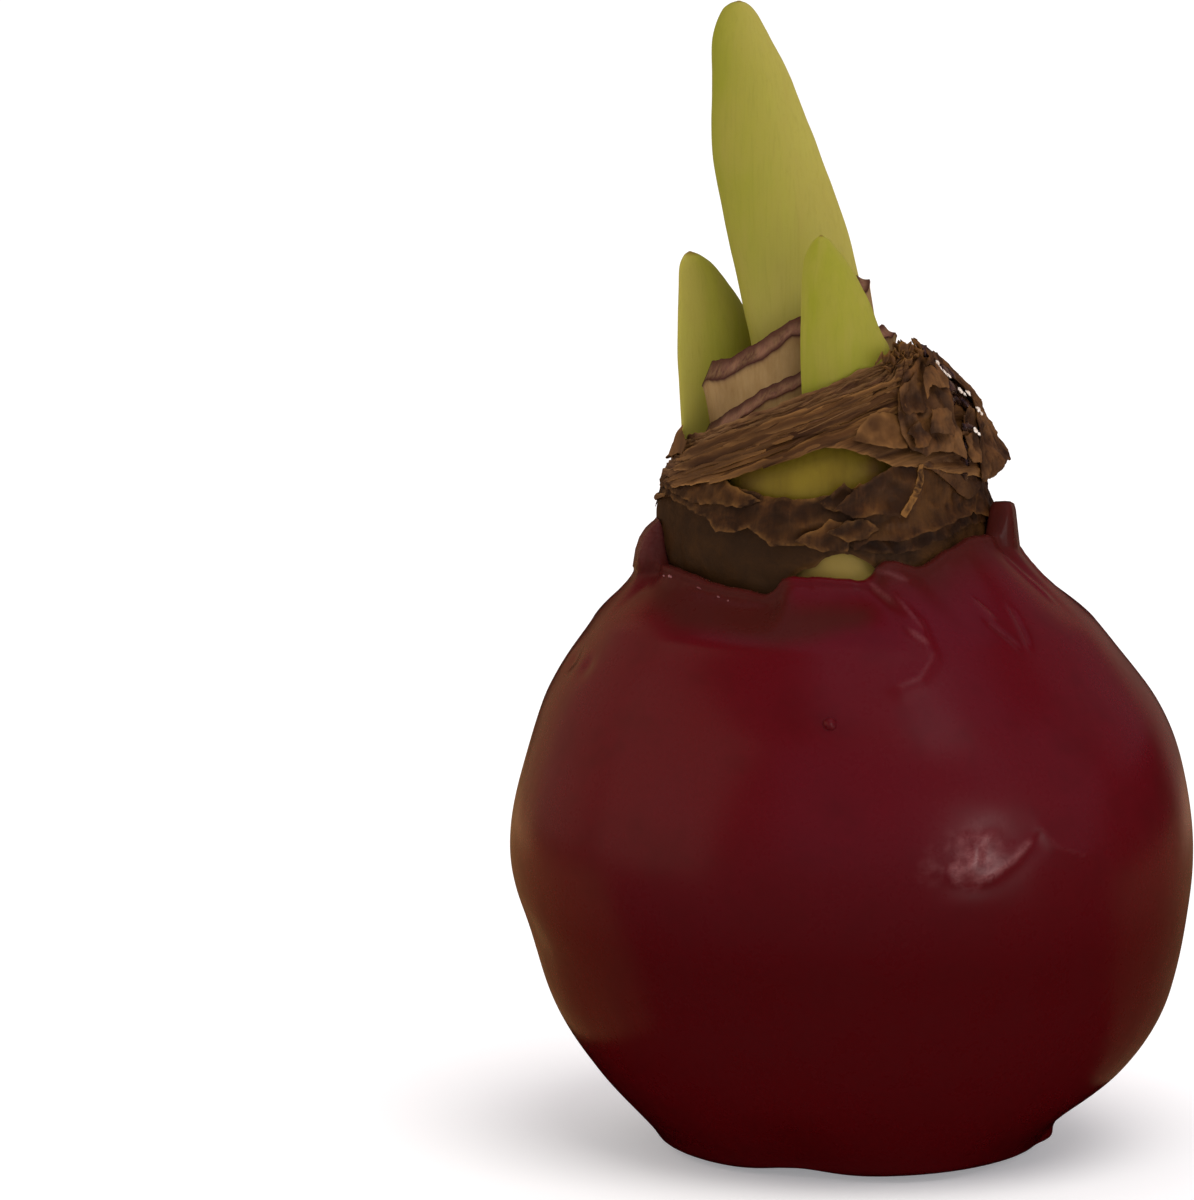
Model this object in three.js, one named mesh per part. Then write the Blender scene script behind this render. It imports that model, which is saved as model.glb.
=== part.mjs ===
// A waxed amaryllis bulb with three green shoots, standing on the flat foot of its wax coat.
// Millimetres, +Z up. The origin is the middle of the foot, -Y is the front and +X the right.

import * as THREE from 'three';

const { degToRad, lerp, smoothstep } = THREE.MathUtils;

// ---------------------------------------------------------------- driving dimensions

const CLEARANCE = 0.3;            // between neighbouring pieces
const WAX_THICKNESS = 1.8;
const FOOT_RADIUS = 21;

// The outside of the wax, from the edge of the foot up to the shoulder: [radius, height].
const COAT_OUTLINE = [
  [FOOT_RADIUS, 0], [26.2, 0.9], [29, 3.6], [37.4, 12.1], [42.9, 20.7], [46.4, 32.2],
  [48, 42], [46.8, 52.2], [42.9, 63.5], [35.2, 74.7],
];

// How far the middle of each level stands to the right of the foot: [height, shift].
const LEAN = [
  [0, 0], [12, 1.2], [26, 0.9], [40, -0.1], [60, 0], [70, -0.9], [75, -1.2], [80, -2.4],
  [86, -3.9], [92, -4], [96, -3.6], [100, -3.3],
];

// The neck of fleshy scales under the tunics: [height, radius]. On the right it closes like a hood.
const NECK = [[79, 21.8], [85, 21.6], [94, 20.8], [100, 19.6], [106, 17.8], [110, 17.2], [116, 16.5]];
const HOOD = [
  [79, 21.8], [90, 21.2], [94, 20.2], [97, 19.6], [100, 18.6], [103, 17.4], [105.6, 16.2],
  [108.4, 13.9], [111.1, 11.2], [113.9, 8.8], [116, 5],
];

// The slanting knife cut across the neck, a plane that is slightly cupped along X.
const CUT = { middle: 109.2, rise: 0.4, tilt: -0.1, cup: 0.002, cupMiddle: -7 };
const SEAT_DROP = 4;              // the flesh ends this far under the cut

// The free edge of the wax round the neck: [angle, height], front at 270 degrees.
const WAX_RIM = [
  [0, 84.8], [90, 83.5], [180, 83.4], [215, 82.8], [238, 80.9], [252, 80.7], [255, 82.4],
  [268, 82.2], [288, 82.9], [296, 84.6], [360, 84.8],
];
const RIM_OUTER_RADIUS = 24.9;
const RIM_INNER_RADIUS = 23.5;
const WAX_LIPS = [
  { angle: 184, width: 8, height: 4.4, lean: 2 },
  { angle: 349, width: 7, height: 8, lean: 2.3 },
];

// Marks in the wax: angle, height, half sizes across and up, and how far they stand out.
const WAX_MARKS = [
  { angle: 292, height: 47.5, across: 5, up: 3, out: -1.0 },   // pressed fold, front right
  { angle: 301, height: 51.5, across: 3, up: 2.4, out: 0.9 },
  { angle: 287, height: 43, across: 6, up: 2.2, out: 0.6 },
  { angle: 266, height: 66.6, across: 1.6, up: 1.4, out: 0.7 },
  { angle: 195, height: 31, across: 7, up: 4, out: -0.7 },
  { angle: 253, height: 3, across: 6, up: 5, out: -1.6 },
  { angle: 292, height: 1, across: 9, up: 4, out: 2 },
  { angle: 350, height: 5, across: 12, up: 4, out: -1.5 },
  { angle: 352, height: 2, across: 2, up: 1.4, out: 1.6 },     // a drip that set at the foot
  { angle: 40, height: 24, across: 9, up: 6, out: -0.8 },
  { angle: 110, height: 55, across: 10, up: 6, out: 0.7 },
];

// Papery layers round the neck, measured outwards from the flesh.
const TUNIC_THICKNESS = 0.8;
const CUT_RING = { inner: 0.3, outer: 3.1, depth: 4.8, groove: 0.45, ridges: 3 };

// Edges of the papery layers: [angle, height].
const WET_TOP = [
  [0, 91], [30, 93], [90, 92], [150, 93], [190, 93], [225, 94], [245, 92.6], [265, 91.6],
  [290, 93], [320, 92], [360, 91],
];
const TORN_TOP = [
  [0, 100], [60, 100], [120, 95], [180, 93.4], [215, 94.6], [232, 96.6], [248, 94.6],
  [262, 94.2], [278, 96.2], [294, 98.8], [315, 103], [340, 104], [360, 100],
];
const TORN_BOTTOM = [
  [0, 89], [40, 87.4], [90, 88.5], [140, 86.8], [185, 91.5], [205, 92.4], [222, 90.6],
  [236, 88.4], [252, 87.2], [268, 86.8], [290, 86.6], [330, 86.9], [350, 88], [360, 89],
];
const UPPER_BOTTOM = [
  [0, 96], [60, 95], [110, 92.5], [165, 92.4], [190, 93], [215, 95], [234, 97.4], [250, 99.9],
  [265, 101.2], [280, 100.6], [294, 99], [312, 97.5], [335, 95], [360, 96],
];
const HOOD_BOTTOM = [[-52, 105.5], [-38, 101], [-22, 99.5], [-8, 96], [4, 98.5], [26, 95.5], [66, 99]];

// Cut leaf bases inside the neck: an ellipse, the arc that is left of it, how far its left side
// flares and the whole settles to the left as it rises, and the cut across its top.
const SCALES = {
  front_scale: {
    middle: -7.8, across: 13.5, deep: 12.4, from: 189, to: 463, flare: 0.12, settle: 0,
    top: 113.6, rise: 0.58, tilt: -0.15, jag: 0.5, seed: 11,
  },
  inner_scale: {
    middle: -8.1, across: 11.5, deep: 10.6, from: 188, to: 458, flare: 0.1, settle: 0.006,
    top: 121.8, rise: 0.606, tilt: 0, jag: 0.7, seed: 23,
  },
  back_scale: {
    middle: -4.5, across: 15, deep: 15.4, from: 52, to: 138, flare: 0, settle: 0,
    top: 112.5, rise: 0.45, tilt: -0.05, jag: 0.8, seed: 37,
  },
};
const SCALE_THICKNESS = 1.2;
const SCALE_BEVEL = 1;

// Green shoots: stations [height, x, y, width, thickness] and the turn of their width from +X.
const SHOOTS = {
  tall_shoot: {
    turn: 0, bow: 0, keel: 1.25, stations: [
      [106, -5.8, 0, 14, 7.6], [116, -6.6, 0, 15.8, 8.4], [127, -8.9, 0, 16.4, 8.6],
      [140, -12.4, 0.4, 14.7, 7.9], [150, -14.4, 0.8, 10.9, 6.6], [156, -15.9, 1, 7.9, 5.4],
      [159.6, -16.3, 1, 4.6, 3.4], [161, -16.2, 1, 1.2, 1.2],
    ],
  },
  left_leaf: {
    turn: 33, bow: -0.5, keel: 1.2, stations: [
      [99, -17.7, 4, 11.6, 3.6], [106, -18.9, 4.2, 13.2, 4.4], [112, -19.6, 4.4, 12.6, 4.4],
      [117, -20.2, 4.6, 11.2, 4], [121, -21.2, 4.6, 8.2, 3.4], [124, -22.2, 4.3, 5.2, 2.5],
      [125.9, -23, 4, 1.2, 1],
    ],
  },
  front_leaf: {
    turn: 12, bow: 0.8, keel: 1.2, stations: [
      [109, -0.9, -14.6, 12.4, 2.6], [112.7, -1.1, -14.6, 12.4, 3], [116.1, -1.8, -14.6, 11, 3.2],
      [119.9, -2.4, -14.3, 9.6, 3.1], [123.6, -3.3, -13.8, 7.8, 2.8], [126.9, -4.1, -13.3, 5.2, 2.2],
      [129.7, -4.6, -13, 1.2, 1],
    ],
  },
};

// Steps of the meshes.
const ROUND_STEPS = 64;
const TORN_STEPS = 84;
const SHOOT_SIDES = 18;
const SCALE_STEP = 7;             // degrees

// ---------------------------------------------------------------- shaping helpers

// Reads a [position, value] list, straight between its entries.
function between(list, position) {
  const next = list.findIndex(([at]) => at >= position);
  if (next === 0) return list[0][1];
  if (next < 0) return list.at(-1)[1];
  const [a, b] = [list[next - 1], list[next]];
  return lerp(a[1], b[1], (position - a[0]) / (b[0] - a[0]));
}

const degrees = (angle) => THREE.MathUtils.euclideanModulo(THREE.MathUtils.radToDeg(angle), 360);
const around = (list, angle) => between(list, degrees(angle));

// A torn edge: seeded random heights from -1 to 1, joined by straight stretches round the circle.
function jagged(seed, teeth) {
  let state = seed;
  const random = () => {
    state = (state * 1664525 + 1013904223) % 4294967296;
    return state / 4294967296;
  };
  const heights = Array.from({ length: teeth }, () => random() * 2 - 1);
  return (angle) => {
    const place = (degrees(angle) / 360) * teeth;
    const tooth = Math.floor(place);
    return lerp(heights[tooth % teeth], heights[(tooth + 1) % teeth], place - tooth);
  };
}

// A smooth hump of height 1 at 0, which fades within about twice its half size.
const hump = (distance, half) => Math.exp(-((distance / half) ** 2));

function angleApart(a, b) {
  return ((((a - b) % 360) + 540) % 360) - 180;
}

// A closed body through a row of loops with equal counts of points. An open row gets a cap at each
// end, laced across the loop, and a ring of loops joins its last loop to its first.
function skin(loops, ring = false) {
  const count = loops[0].length;
  const positions = loops.flat().flatMap((point) => point.toArray());
  const index = [];
  const quad = (a, b, c, d) => index.push(a, b, c, a, c, d);
  const strips = ring ? loops.length : loops.length - 1;
  for (let i = 0; i < strips; i++) {
    const here = i * count;
    const next = ((i + 1) % loops.length) * count;
    for (let j = 0; j < count; j++) {
      const k = (j + 1) % count;
      quad(here + j, here + k, next + k, next + j);
    }
  }
  if (!ring) {
    const last = (loops.length - 1) * count;
    for (let j = 0; j < count / 2 - 1; j++) {
      const [a, b, c, d] = [j, j + 1, count - 2 - j, count - 1 - j];
      lace(index, a, b, c, d);
      lace(index, last + d, last + c, last + b, last + a);
    }
  }
  const geometry = new THREE.BufferGeometry();
  geometry.setAttribute('position', new THREE.Float32BufferAttribute(positions, 3));
  geometry.setIndex(facingOut(positions, index));
  geometry.computeVertexNormals();
  return geometry;
}

// Two triangles of a cap, or one where the lacing has closed to a point.
function lace(index, a, b, c, d) {
  index.push(a, d, b);
  if (b !== c) index.push(b, d, c);
}

// Turns every triangle over when the body they close has a negative volume.
function facingOut(positions, index) {
  const corner = (i) => new THREE.Vector3().fromArray(positions, index[i] * 3);
  let volume = 0;
  for (let i = 0; i < index.length; i += 3) {
    volume += corner(i).dot(corner(i + 1).cross(corner(i + 2)));
  }
  return volume < 0 ? index.toReversed() : index;
}

function piece(name, geometry, color, roughness) {
  const material = new THREE.MeshStandardMaterial({ color, roughness, metalness: 0 });
  const mesh = new THREE.Mesh(geometry, material);
  mesh.name = name;
  return mesh;
}

// ---------------------------------------------------------------- the neck and its layers

// How much the hood's outline counts at an angle: all of it on the right, none from the front on.
const hoodShare = (angle) => Math.max(0, Math.cos(angle)) ** 2.6;

function onNeck(angle, height, outwards) {
  const radius = lerp(between(NECK, height), between(HOOD, height), hoodShare(angle)) + outwards;
  return new THREE.Vector3(
    between(LEAN, height) + radius * Math.cos(angle), radius * Math.sin(angle), height,
  );
}

function cutPlane(x, y, drop) {
  const cup = CUT.cup * (x - CUT.cupMiddle) ** 2;
  return CUT.middle + CUT.rise * x + CUT.tilt * y + cup - drop;
}

// The height at which a layer of the neck meets the cut, or a plane some way under it.
function cutHeight(angle, outwards, drop) {
  let [low, high] = [85, 120];
  for (let halving = 0; halving < 30; halving++) {
    const height = (low + high) / 2;
    const point = onNeck(angle, height, outwards);
    if (height < cutPlane(point.x, point.y, drop)) low = height;
    else high = height;
  }
  return low;
}

// A curved sheet of even thickness: outer points from its bottom to its top, inner ones back down.
function sheet({ from = 0, to = 360, columns, rows, bottom, top, outside, inside }) {
  const ring = to - from === 360;
  const loops = [];
  for (let column = 0; column < columns + (ring ? 0 : 1); column++) {
    const angle = degToRad(from + ((to - from) * column) / columns);
    const outer = [];
    const inner = [];
    for (let row = 0; row <= rows; row++) {
      const share = row / rows;
      outer.push(outside(angle, lerp(bottom(angle), top(angle, true), share)));
      inner.unshift(inside(angle, lerp(bottom(angle), top(angle, false), share)));
    }
    loops.push([...outer, ...inner]);
  }
  return skin(loops, ring);
}

function tunic({ offset, ...rest }) {
  return sheet({
    outside: (angle, height) => onNeck(angle, height, offset + TUNIC_THICKNESS),
    inside: (angle, height) => onNeck(angle, height, offset),
    ...rest,
  });
}

// ---------------------------------------------------------------- wax coat and flesh

const coatCurve = new THREE.SplineCurve(COAT_OUTLINE.map(([r, z]) => new THREE.Vector2(r, z)));

// A point of the coat's outline, moved straight inwards by a depth.
function coatPoint(share, depth) {
  const point = coatCurve.getPointAt(share);
  const along = coatCurve.getTangentAt(share);
  return new THREE.Vector2(point.x - along.y * depth, point.y + along.x * depth);
}

function waxMarks(angle, height, radius) {
  let out = 0;
  for (const mark of WAX_MARKS) {
    const across = degToRad(angleApart(degrees(angle), mark.angle)) * radius;
    out += mark.out * hump(across, mark.across) * hump(height - mark.height, mark.up);
  }
  return out;
}

// A loop of the bulb at one share of its outline, with its lean. Only the outside has the marks.
function bulbLoop(share, depth) {
  const outside = coatPoint(share, 0);
  const point = coatPoint(share, depth);
  const flat = share === 0;
  const loop = [];
  for (let step = 0; step < ROUND_STEPS; step++) {
    const angle = (step / ROUND_STEPS) * 2 * Math.PI;
    const marks = depth > 0 ? 0 : waxMarks(angle, outside.y, outside.x);
    const radius = point.x + marks;
    loop.push(new THREE.Vector3(
      between(LEAN, outside.y) + radius * Math.cos(angle), radius * Math.sin(angle),
      flat ? depth : point.y,
    ));
  }
  return loop;
}

// A loop on the sloping shoulder, between the end of the outline and the rim at the neck.
function shoulderLoop(share, depth, rimRadius, rimHeight) {
  const start = coatPoint(1, depth);
  const loop = [];
  for (let step = 0; step < ROUND_STEPS; step++) {
    const angle = (step / ROUND_STEPS) * 2 * Math.PI;
    const radius = lerp(start.x, rimRadius, share);
    const height = lerp(start.y, rimHeight(angle), Math.sin((share * Math.PI) / 2) * 0.2 + share * 0.8);
    const marks = depth > 0 ? 0 : waxMarks(angle, height, radius) * (1 - share);
    loop.push(new THREE.Vector3(
      between(LEAN, lerp(start.y, 86, share)) + (radius + marks) * Math.cos(angle),
      (radius + marks) * Math.sin(angle), height,
    ));
  }
  return loop;
}

const rimHeight = (angle) => around(WAX_RIM, angle);

function lipHeight(angle) {
  return WAX_LIPS.reduce((sum, lip) => (
    sum + lip.height * hump(angleApart(degrees(angle), lip.angle), lip.width)), 0);
}

function lipLean(angle) {
  return WAX_LIPS.reduce((sum, lip) => (
    sum + lip.lean * hump(angleApart(degrees(angle), lip.angle), lip.width)), 0);
}

// The free edge of the wax, with its two standing lips.
function lipLoop(radius, rise) {
  const ragged = jagged(5, 30);
  const loop = [];
  for (let step = 0; step < ROUND_STEPS; step++) {
    const angle = (step / ROUND_STEPS) * 2 * Math.PI;
    const lip = lipHeight(angle);
    const reach = radius + lipLean(angle);
    loop.push(new THREE.Vector3(
      between(LEAN, 86) + reach * Math.cos(angle), reach * Math.sin(angle),
      rimHeight(angle) + rise + lip + 0.25 * ragged(angle),
    ));
  }
  return loop;
}

function waxCoat() {
  const loops = [];
  const outerRows = 15;
  const innerRows = 9;
  const shoulderRows = 4;
  for (let row = 0; row <= outerRows; row++) loops.push(bulbLoop(row / outerRows, 0));
  for (let row = 1; row <= shoulderRows; row++) {
    loops.push(shoulderLoop(row / shoulderRows, 0, RIM_OUTER_RADIUS + 0.8, rimHeight));
  }
  loops.push(lipLoop(RIM_OUTER_RADIUS, 0.6), lipLoop(RIM_INNER_RADIUS, 0.5));
  for (let row = 3; row > 0; row--) {
    loops.push(shoulderLoop(row / 3, WAX_THICKNESS, RIM_INNER_RADIUS, (angle) => rimHeight(angle) - 1.5));
  }
  for (let row = innerRows; row >= 0; row--) loops.push(bulbLoop(row / innerRows, WAX_THICKNESS));
  return skin(loops);
}

function bulbBody() {
  const depth = WAX_THICKNESS + CLEARANCE;
  const bulbRows = 9;
  const neckRows = 5;
  const shoulderHeight = (angle) => rimHeight(angle) - 2.1;
  const loops = [];
  for (let row = 0; row <= bulbRows; row++) loops.push(bulbLoop(row / bulbRows, depth));
  for (let row = 1; row < 3; row++) {
    loops.push(shoulderLoop(row / 3, depth, between(NECK, 85), shoulderHeight));
  }
  for (let row = 0; row <= neckRows; row++) {
    const loop = [];
    for (let step = 0; step < ROUND_STEPS; step++) {
      const angle = (step / ROUND_STEPS) * 2 * Math.PI;
      const top = cutHeight(angle, 0, SEAT_DROP);
      loop.push(onNeck(angle, lerp(shoulderHeight(angle), top, row / neckRows), 0));
    }
    loops.push(loop);
  }
  return skin(loops);
}

// ---------------------------------------------------------------- papery tunics

// Above the flesh's own clearance, the layers lie one outside the other.
const layerOffset = (layer) => CLEARANCE + layer * (TUNIC_THICKNESS + CLEARANCE);

function wetTunic() {
  const torn = jagged(3, 40);
  const patch = (angle) => Math.abs(angleApart(degrees(angle), 270)) < 15;
  return tunic({
    offset: layerOffset(0), columns: ROUND_STEPS, rows: 3,
    bottom: (angle) => (patch(angle) ? 86 : rimHeight(angle) - 1.4),
    top: (angle) => around(WET_TOP, angle) + 0.8 * torn(angle),
  });
}

function tornTunic() {
  const above = jagged(8, 60);
  const below = jagged(9, 48);
  const offset = layerOffset(1);
  const underRing = (angle) => cutHeight(angle, offset, CUT_RING.depth + 2 * CLEARANCE);
  return tunic({
    offset, columns: TORN_STEPS, rows: 3,
    bottom: (angle) => around(TORN_BOTTOM, angle) + 0.9 * below(angle),
    top: (angle) => Math.min(around(TORN_TOP, angle) + 0.5 * above(angle), underRing(angle)),
  });
}

function upperTunic() {
  const torn = jagged(15, 52);
  const offset = layerOffset(2);
  return tunic({
    offset, columns: TORN_STEPS, rows: 3,
    bottom: (angle) => around(UPPER_BOTTOM, angle) + 0.45 * torn(angle),
    top: (angle) => cutHeight(angle, offset, CUT_RING.depth + 2 * CLEARANCE),
  });
}

// The stacked edges of the cut tunics, a grooved ring that follows the slant of the cut.
function cutRing() {
  const { inner, outer, depth, groove, ridges } = CUT_RING;
  const frayed = jagged(21, 70);
  const loops = [];
  for (let step = 0; step < TORN_STEPS; step++) {
    const angle = (step / TORN_STEPS) * 2 * Math.PI;
    const reach = outer - 0.9 * hump(angleApart(degrees(angle), 180), 40);
    const bottom = cutHeight(angle, reach, depth);
    const top = cutHeight(angle, reach, 0) + 0.3 * frayed(angle);
    const loop = [];
    for (let row = 0; row <= 2 * ridges; row++) {
      const height = lerp(bottom, top, row / (2 * ridges));
      loop.push(onNeck(angle, height, reach - (row % 2 ? 0 : groove)));
    }
    const innerTop = cutHeight(angle, inner, 0.4);
    const innerBottom = cutHeight(angle, inner, depth);
    for (const share of [1, 0.75, 0.5, 0.35, 0.2, 0.1, 0]) {
      loop.push(onNeck(angle, lerp(innerBottom, innerTop, share), inner));
    }
    loops.push(loop);
  }
  return skin(loops, true);
}

// The crumpled outer tunic that folds over the right of the neck and hangs down to a torn point.
function hoodFlap() {
  const offset = layerOffset(3);
  const torn = jagged(31, 40);
  const fold = (angle, height) => (
    0.45 * (1 + Math.sin(9 * angle + 0.35 * height)) * smoothstep(height, 94, 100)
    + 0.9 * hump(height - 96, 3) * hump(degrees(angle + Math.PI) - 172, 14));
  return sheet({
    from: -52, to: 66, columns: 30, rows: 6,
    bottom: (angle) => between(HOOD_BOTTOM, THREE.MathUtils.radToDeg(angle)) + 0.5 * torn(angle),
    top: (angle) => cutHeight(angle, offset, 0.3),
    outside: (angle, height) => onNeck(angle, height, offset + TUNIC_THICKNESS + fold(angle, height)),
    inside: (angle, height) => onNeck(angle, height, offset + fold(angle, height)),
  });
}

// ---------------------------------------------------------------- cut scales and green shoots

const seatHeight = (x, y) => cutPlane(x, y, SEAT_DROP - CLEARANCE);

function cutScale(form) {
  const torn = jagged(form.seed, 44);
  const rows = 4;
  // One upright line of points on the outer or inner face.
  const upright = (angle, inwards, bevel) => {
    const x = form.middle + (form.across - inwards) * Math.cos(angle);
    const y = (form.deep - inwards) * Math.sin(angle);
    const low = seatHeight(x, y);
    const high = form.top + form.rise * x + form.tilt * y + form.jag * torn(angle) - bevel;
    const points = [];
    for (let row = 0; row <= rows; row++) {
      const climb = ((high - low) * row) / rows;
      const sideways = form.flare * climb * Math.min(0, Math.cos(angle)) - form.settle * climb ** 2;
      points.push(new THREE.Vector3(x + sideways, y, low + climb));
    }
    return points;
  };
  const columns = Math.round((form.to - form.from) / SCALE_STEP);
  const loops = [];
  for (let column = 0; column <= columns; column++) {
    const angle = degToRad(lerp(form.from, form.to, column / columns));
    loops.push([...upright(angle, 0, SCALE_BEVEL), ...upright(angle, SCALE_THICKNESS, 0).reverse()]);
  }
  return skin(loops);
}

// A green shoot: level sections with a soft keel along both faces, on a foot cut to the seat.
function shoot({ turn, bow, keel, stations }) {
  const curve = (item) => new THREE.SplineCurve(
    stations.map((station, i) => new THREE.Vector2(i, station[item])));
  const curves = [0, 1, 2, 3, 4].map(curve);
  const steps = 2 * (stations.length - 1);
  const [cos, sin] = [Math.cos(degToRad(turn)), Math.sin(degToRad(turn))];
  const loops = [];
  for (let step = -1; step <= steps; step++) {
    const share = Math.max(0, step) / steps;
    const [height, x, y, width, thickness] = curves.map((each) => each.getPoint(share).y);
    const loop = [];
    for (let side = 0; side < SHOOT_SIDES; side++) {
      const round = ((side + 0.5) / SHOOT_SIDES) * 2 * Math.PI;
      const a = (width / 2) * Math.cos(round);
      const lens = Math.sign(Math.sin(round)) * Math.abs(Math.sin(round)) ** keel;
      const b = (thickness / 2) * lens - bow * (1 - 2 * Math.cos(round) ** 2) * (width / stations[0][3]);
      const [px, py] = [x + a * cos - b * sin, y + a * sin + b * cos];
      const slant = (seatHeight(px, py) - seatHeight(x, y)) * (1 - share) ** 3;
      loop.push(new THREE.Vector3(px, py, step < 0 ? seatHeight(px, py) : height + slant));
    }
    loops.push(loop);
  }
  return skin(loops);
}

// ---------------------------------------------------------------- the whole bulb

const amaryllis = new THREE.Group();

amaryllis.add(
  piece('wax_coat', waxCoat(), '#6d1420', 0.35),
  piece('bulb_body', bulbBody(), '#8f8a3c', 0.6),
  piece('wet_tunic', wetTunic(), '#33241a', 0.6),
  piece('torn_tunic', tornTunic(), '#5a3a22', 0.75),
  piece('upper_tunic', upperTunic(), '#64432a', 0.75),
  piece('cut_ring', cutRing(), '#7b5636', 0.8),
  piece('hood_flap', hoodFlap(), '#553722', 0.5),
);
for (const [name, scale] of Object.entries(SCALES)) {
  amaryllis.add(piece(name, cutScale(scale), '#b39a6c', 0.65));
}
for (const [name, form] of Object.entries(SHOOTS)) {
  amaryllis.add(piece(name, shoot(form), '#9aa343', 0.45));
}

export default amaryllis;
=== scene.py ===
"""A waxed amaryllis bulb: its detailed pieces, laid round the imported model, and a plain studio.

Lengths in the tables are millimetres, and angles are degrees round the bulb: the front is 270 and
the right is 0. Everything is made in metres in the model's own frame.
"""

import itertools
import math

import bpy
import numpy as np
from bpy.props import FloatProperty, FloatVectorProperty, IntProperty, PointerProperty
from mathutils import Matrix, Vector
from mathutils.geometry import delaunay_2d_cdt


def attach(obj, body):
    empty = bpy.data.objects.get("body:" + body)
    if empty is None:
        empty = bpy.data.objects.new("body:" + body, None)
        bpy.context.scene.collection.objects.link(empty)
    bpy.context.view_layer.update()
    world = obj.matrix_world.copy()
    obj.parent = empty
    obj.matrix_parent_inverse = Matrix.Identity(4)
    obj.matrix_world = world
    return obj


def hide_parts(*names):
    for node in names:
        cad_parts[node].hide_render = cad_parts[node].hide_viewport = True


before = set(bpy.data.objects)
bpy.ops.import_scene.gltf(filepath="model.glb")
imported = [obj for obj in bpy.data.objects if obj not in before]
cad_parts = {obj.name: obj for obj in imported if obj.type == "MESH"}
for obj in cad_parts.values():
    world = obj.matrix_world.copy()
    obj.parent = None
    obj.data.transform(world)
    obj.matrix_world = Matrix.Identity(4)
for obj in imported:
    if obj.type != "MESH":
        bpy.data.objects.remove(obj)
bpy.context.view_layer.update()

bl_info = {
    "name": "Waxed amaryllis bulb",
    "version": (1, 0, 0),
    "blender": (4, 5, 0),
    "location": "View3D > Sidebar > Amaryllis",
    "description": "Builds a waxed amaryllis bulb with torn tunics and green shoots",
    "category": "Add Mesh",
}

MM = 0.001

# ------------------------------------------------------------------ the shapes, as in the model

# The coat's outline, from its foot to its shoulder: radius, height.
COAT_OUTLINE = [
    (21, 0), (26.2, 0.9), (29, 3.6), (37.4, 12.1), (42.9, 20.7), (46.4, 32.2),
    (48, 42), (46.8, 52.2), (42.9, 63.5), (35.2, 74.7),
]
WAX_THICKNESS = 1.8
# The flesh starts so deep under the coat's outer face, clear of the wax.
FLESH_DEPTH = 2.1
# How far the middle of the bulb stands to the right: height, distance.
LEAN = [
    (0, 0), (12, 1.2), (26, 0.9), (40, -0.1), (60, 0), (70, -0.9), (75, -1.2), (80, -2.4),
    (86, -3.9), (92, -4), (96, -3.6), (100, -3.3),
]
# The flesh of the neck: height, radius. On the right it closes over like a hood.
NECK = [(79, 21.8), (85, 21.6), (94, 20.8), (100, 19.6), (106, 17.8), (110, 17.2), (116, 16.5)]
HOOD = [
    (79, 21.8), (90, 21.2), (94, 20.2), (97, 19.6), (100, 18.6), (103, 17.4), (105.6, 16.2),
    (108.4, 13.9), (111.1, 11.2), (113.9, 8.8), (116, 5),
]
# The seat that the scales and shoots stand on lies so far under the knife cut.
SEAT_DROP = 4
# They start so far under the cut, just clear of the seat.
START_DROP = SEAT_DROP - 0.3
# The ragged rim of the coat: angle, height.
WAX_RIM = [
    (0, 86.2), (20, 84.6), (90, 83.5), (180, 83.8), (200, 83.5), (215, 83.1), (230, 82.2),
    (241, 81.5), (251, 81.7), (256, 83.6), (264, 83.8), (274, 83.7), (284, 83.8), (288, 85.3),
    (304, 85.2), (312, 86.4), (320, 87.7), (330, 88.2), (342, 87.4), (360, 86.2),
]
# Wedges of wax that climb the neck: middle, half width, height, how far they stand out, the slope
# of their top, and how much they draw in towards it.
WAX_LIPS = [(189, 8, 5.2, 2.6, 0.5, 0.75), (350.5, 7.5, 5.2, 1.9, 0.05, 0.1)]
# Humps and hollows in the wax: angle, height, half sizes across and up, how far out.
WAX_MARKS = [
    (298.5, 51.2, 4.0, 2.8, -0.3), (289, 42.5, 6, 2.2, 0.1), (288.5, 47.4, 0.9, 0.8, 0.1),
    (291, 49.6, 0.9, 1.0, 0.12), (286.4, 46.4, 0.9, 0.7, 0.09), (289.4, 51.2, 1.1, 0.8, 0.09),
    (292.6, 48.2, 0.7, 0.9, -0.1), (195, 31, 7, 4, -0.7), (253, 3, 6, 5, -1.6),
    (292, 1, 9, 4, 2), (350, 5, 12, 4, -1.5), (352, 2, 2, 1.4, 1.6), (40, 24, 9, 6, -0.8),
    (110, 55, 10, 6, 0.7), (191, 69.8, 2.4, 1.6, -0.5), (202, 70, 1.6, 1.3, -0.4),
]
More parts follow.
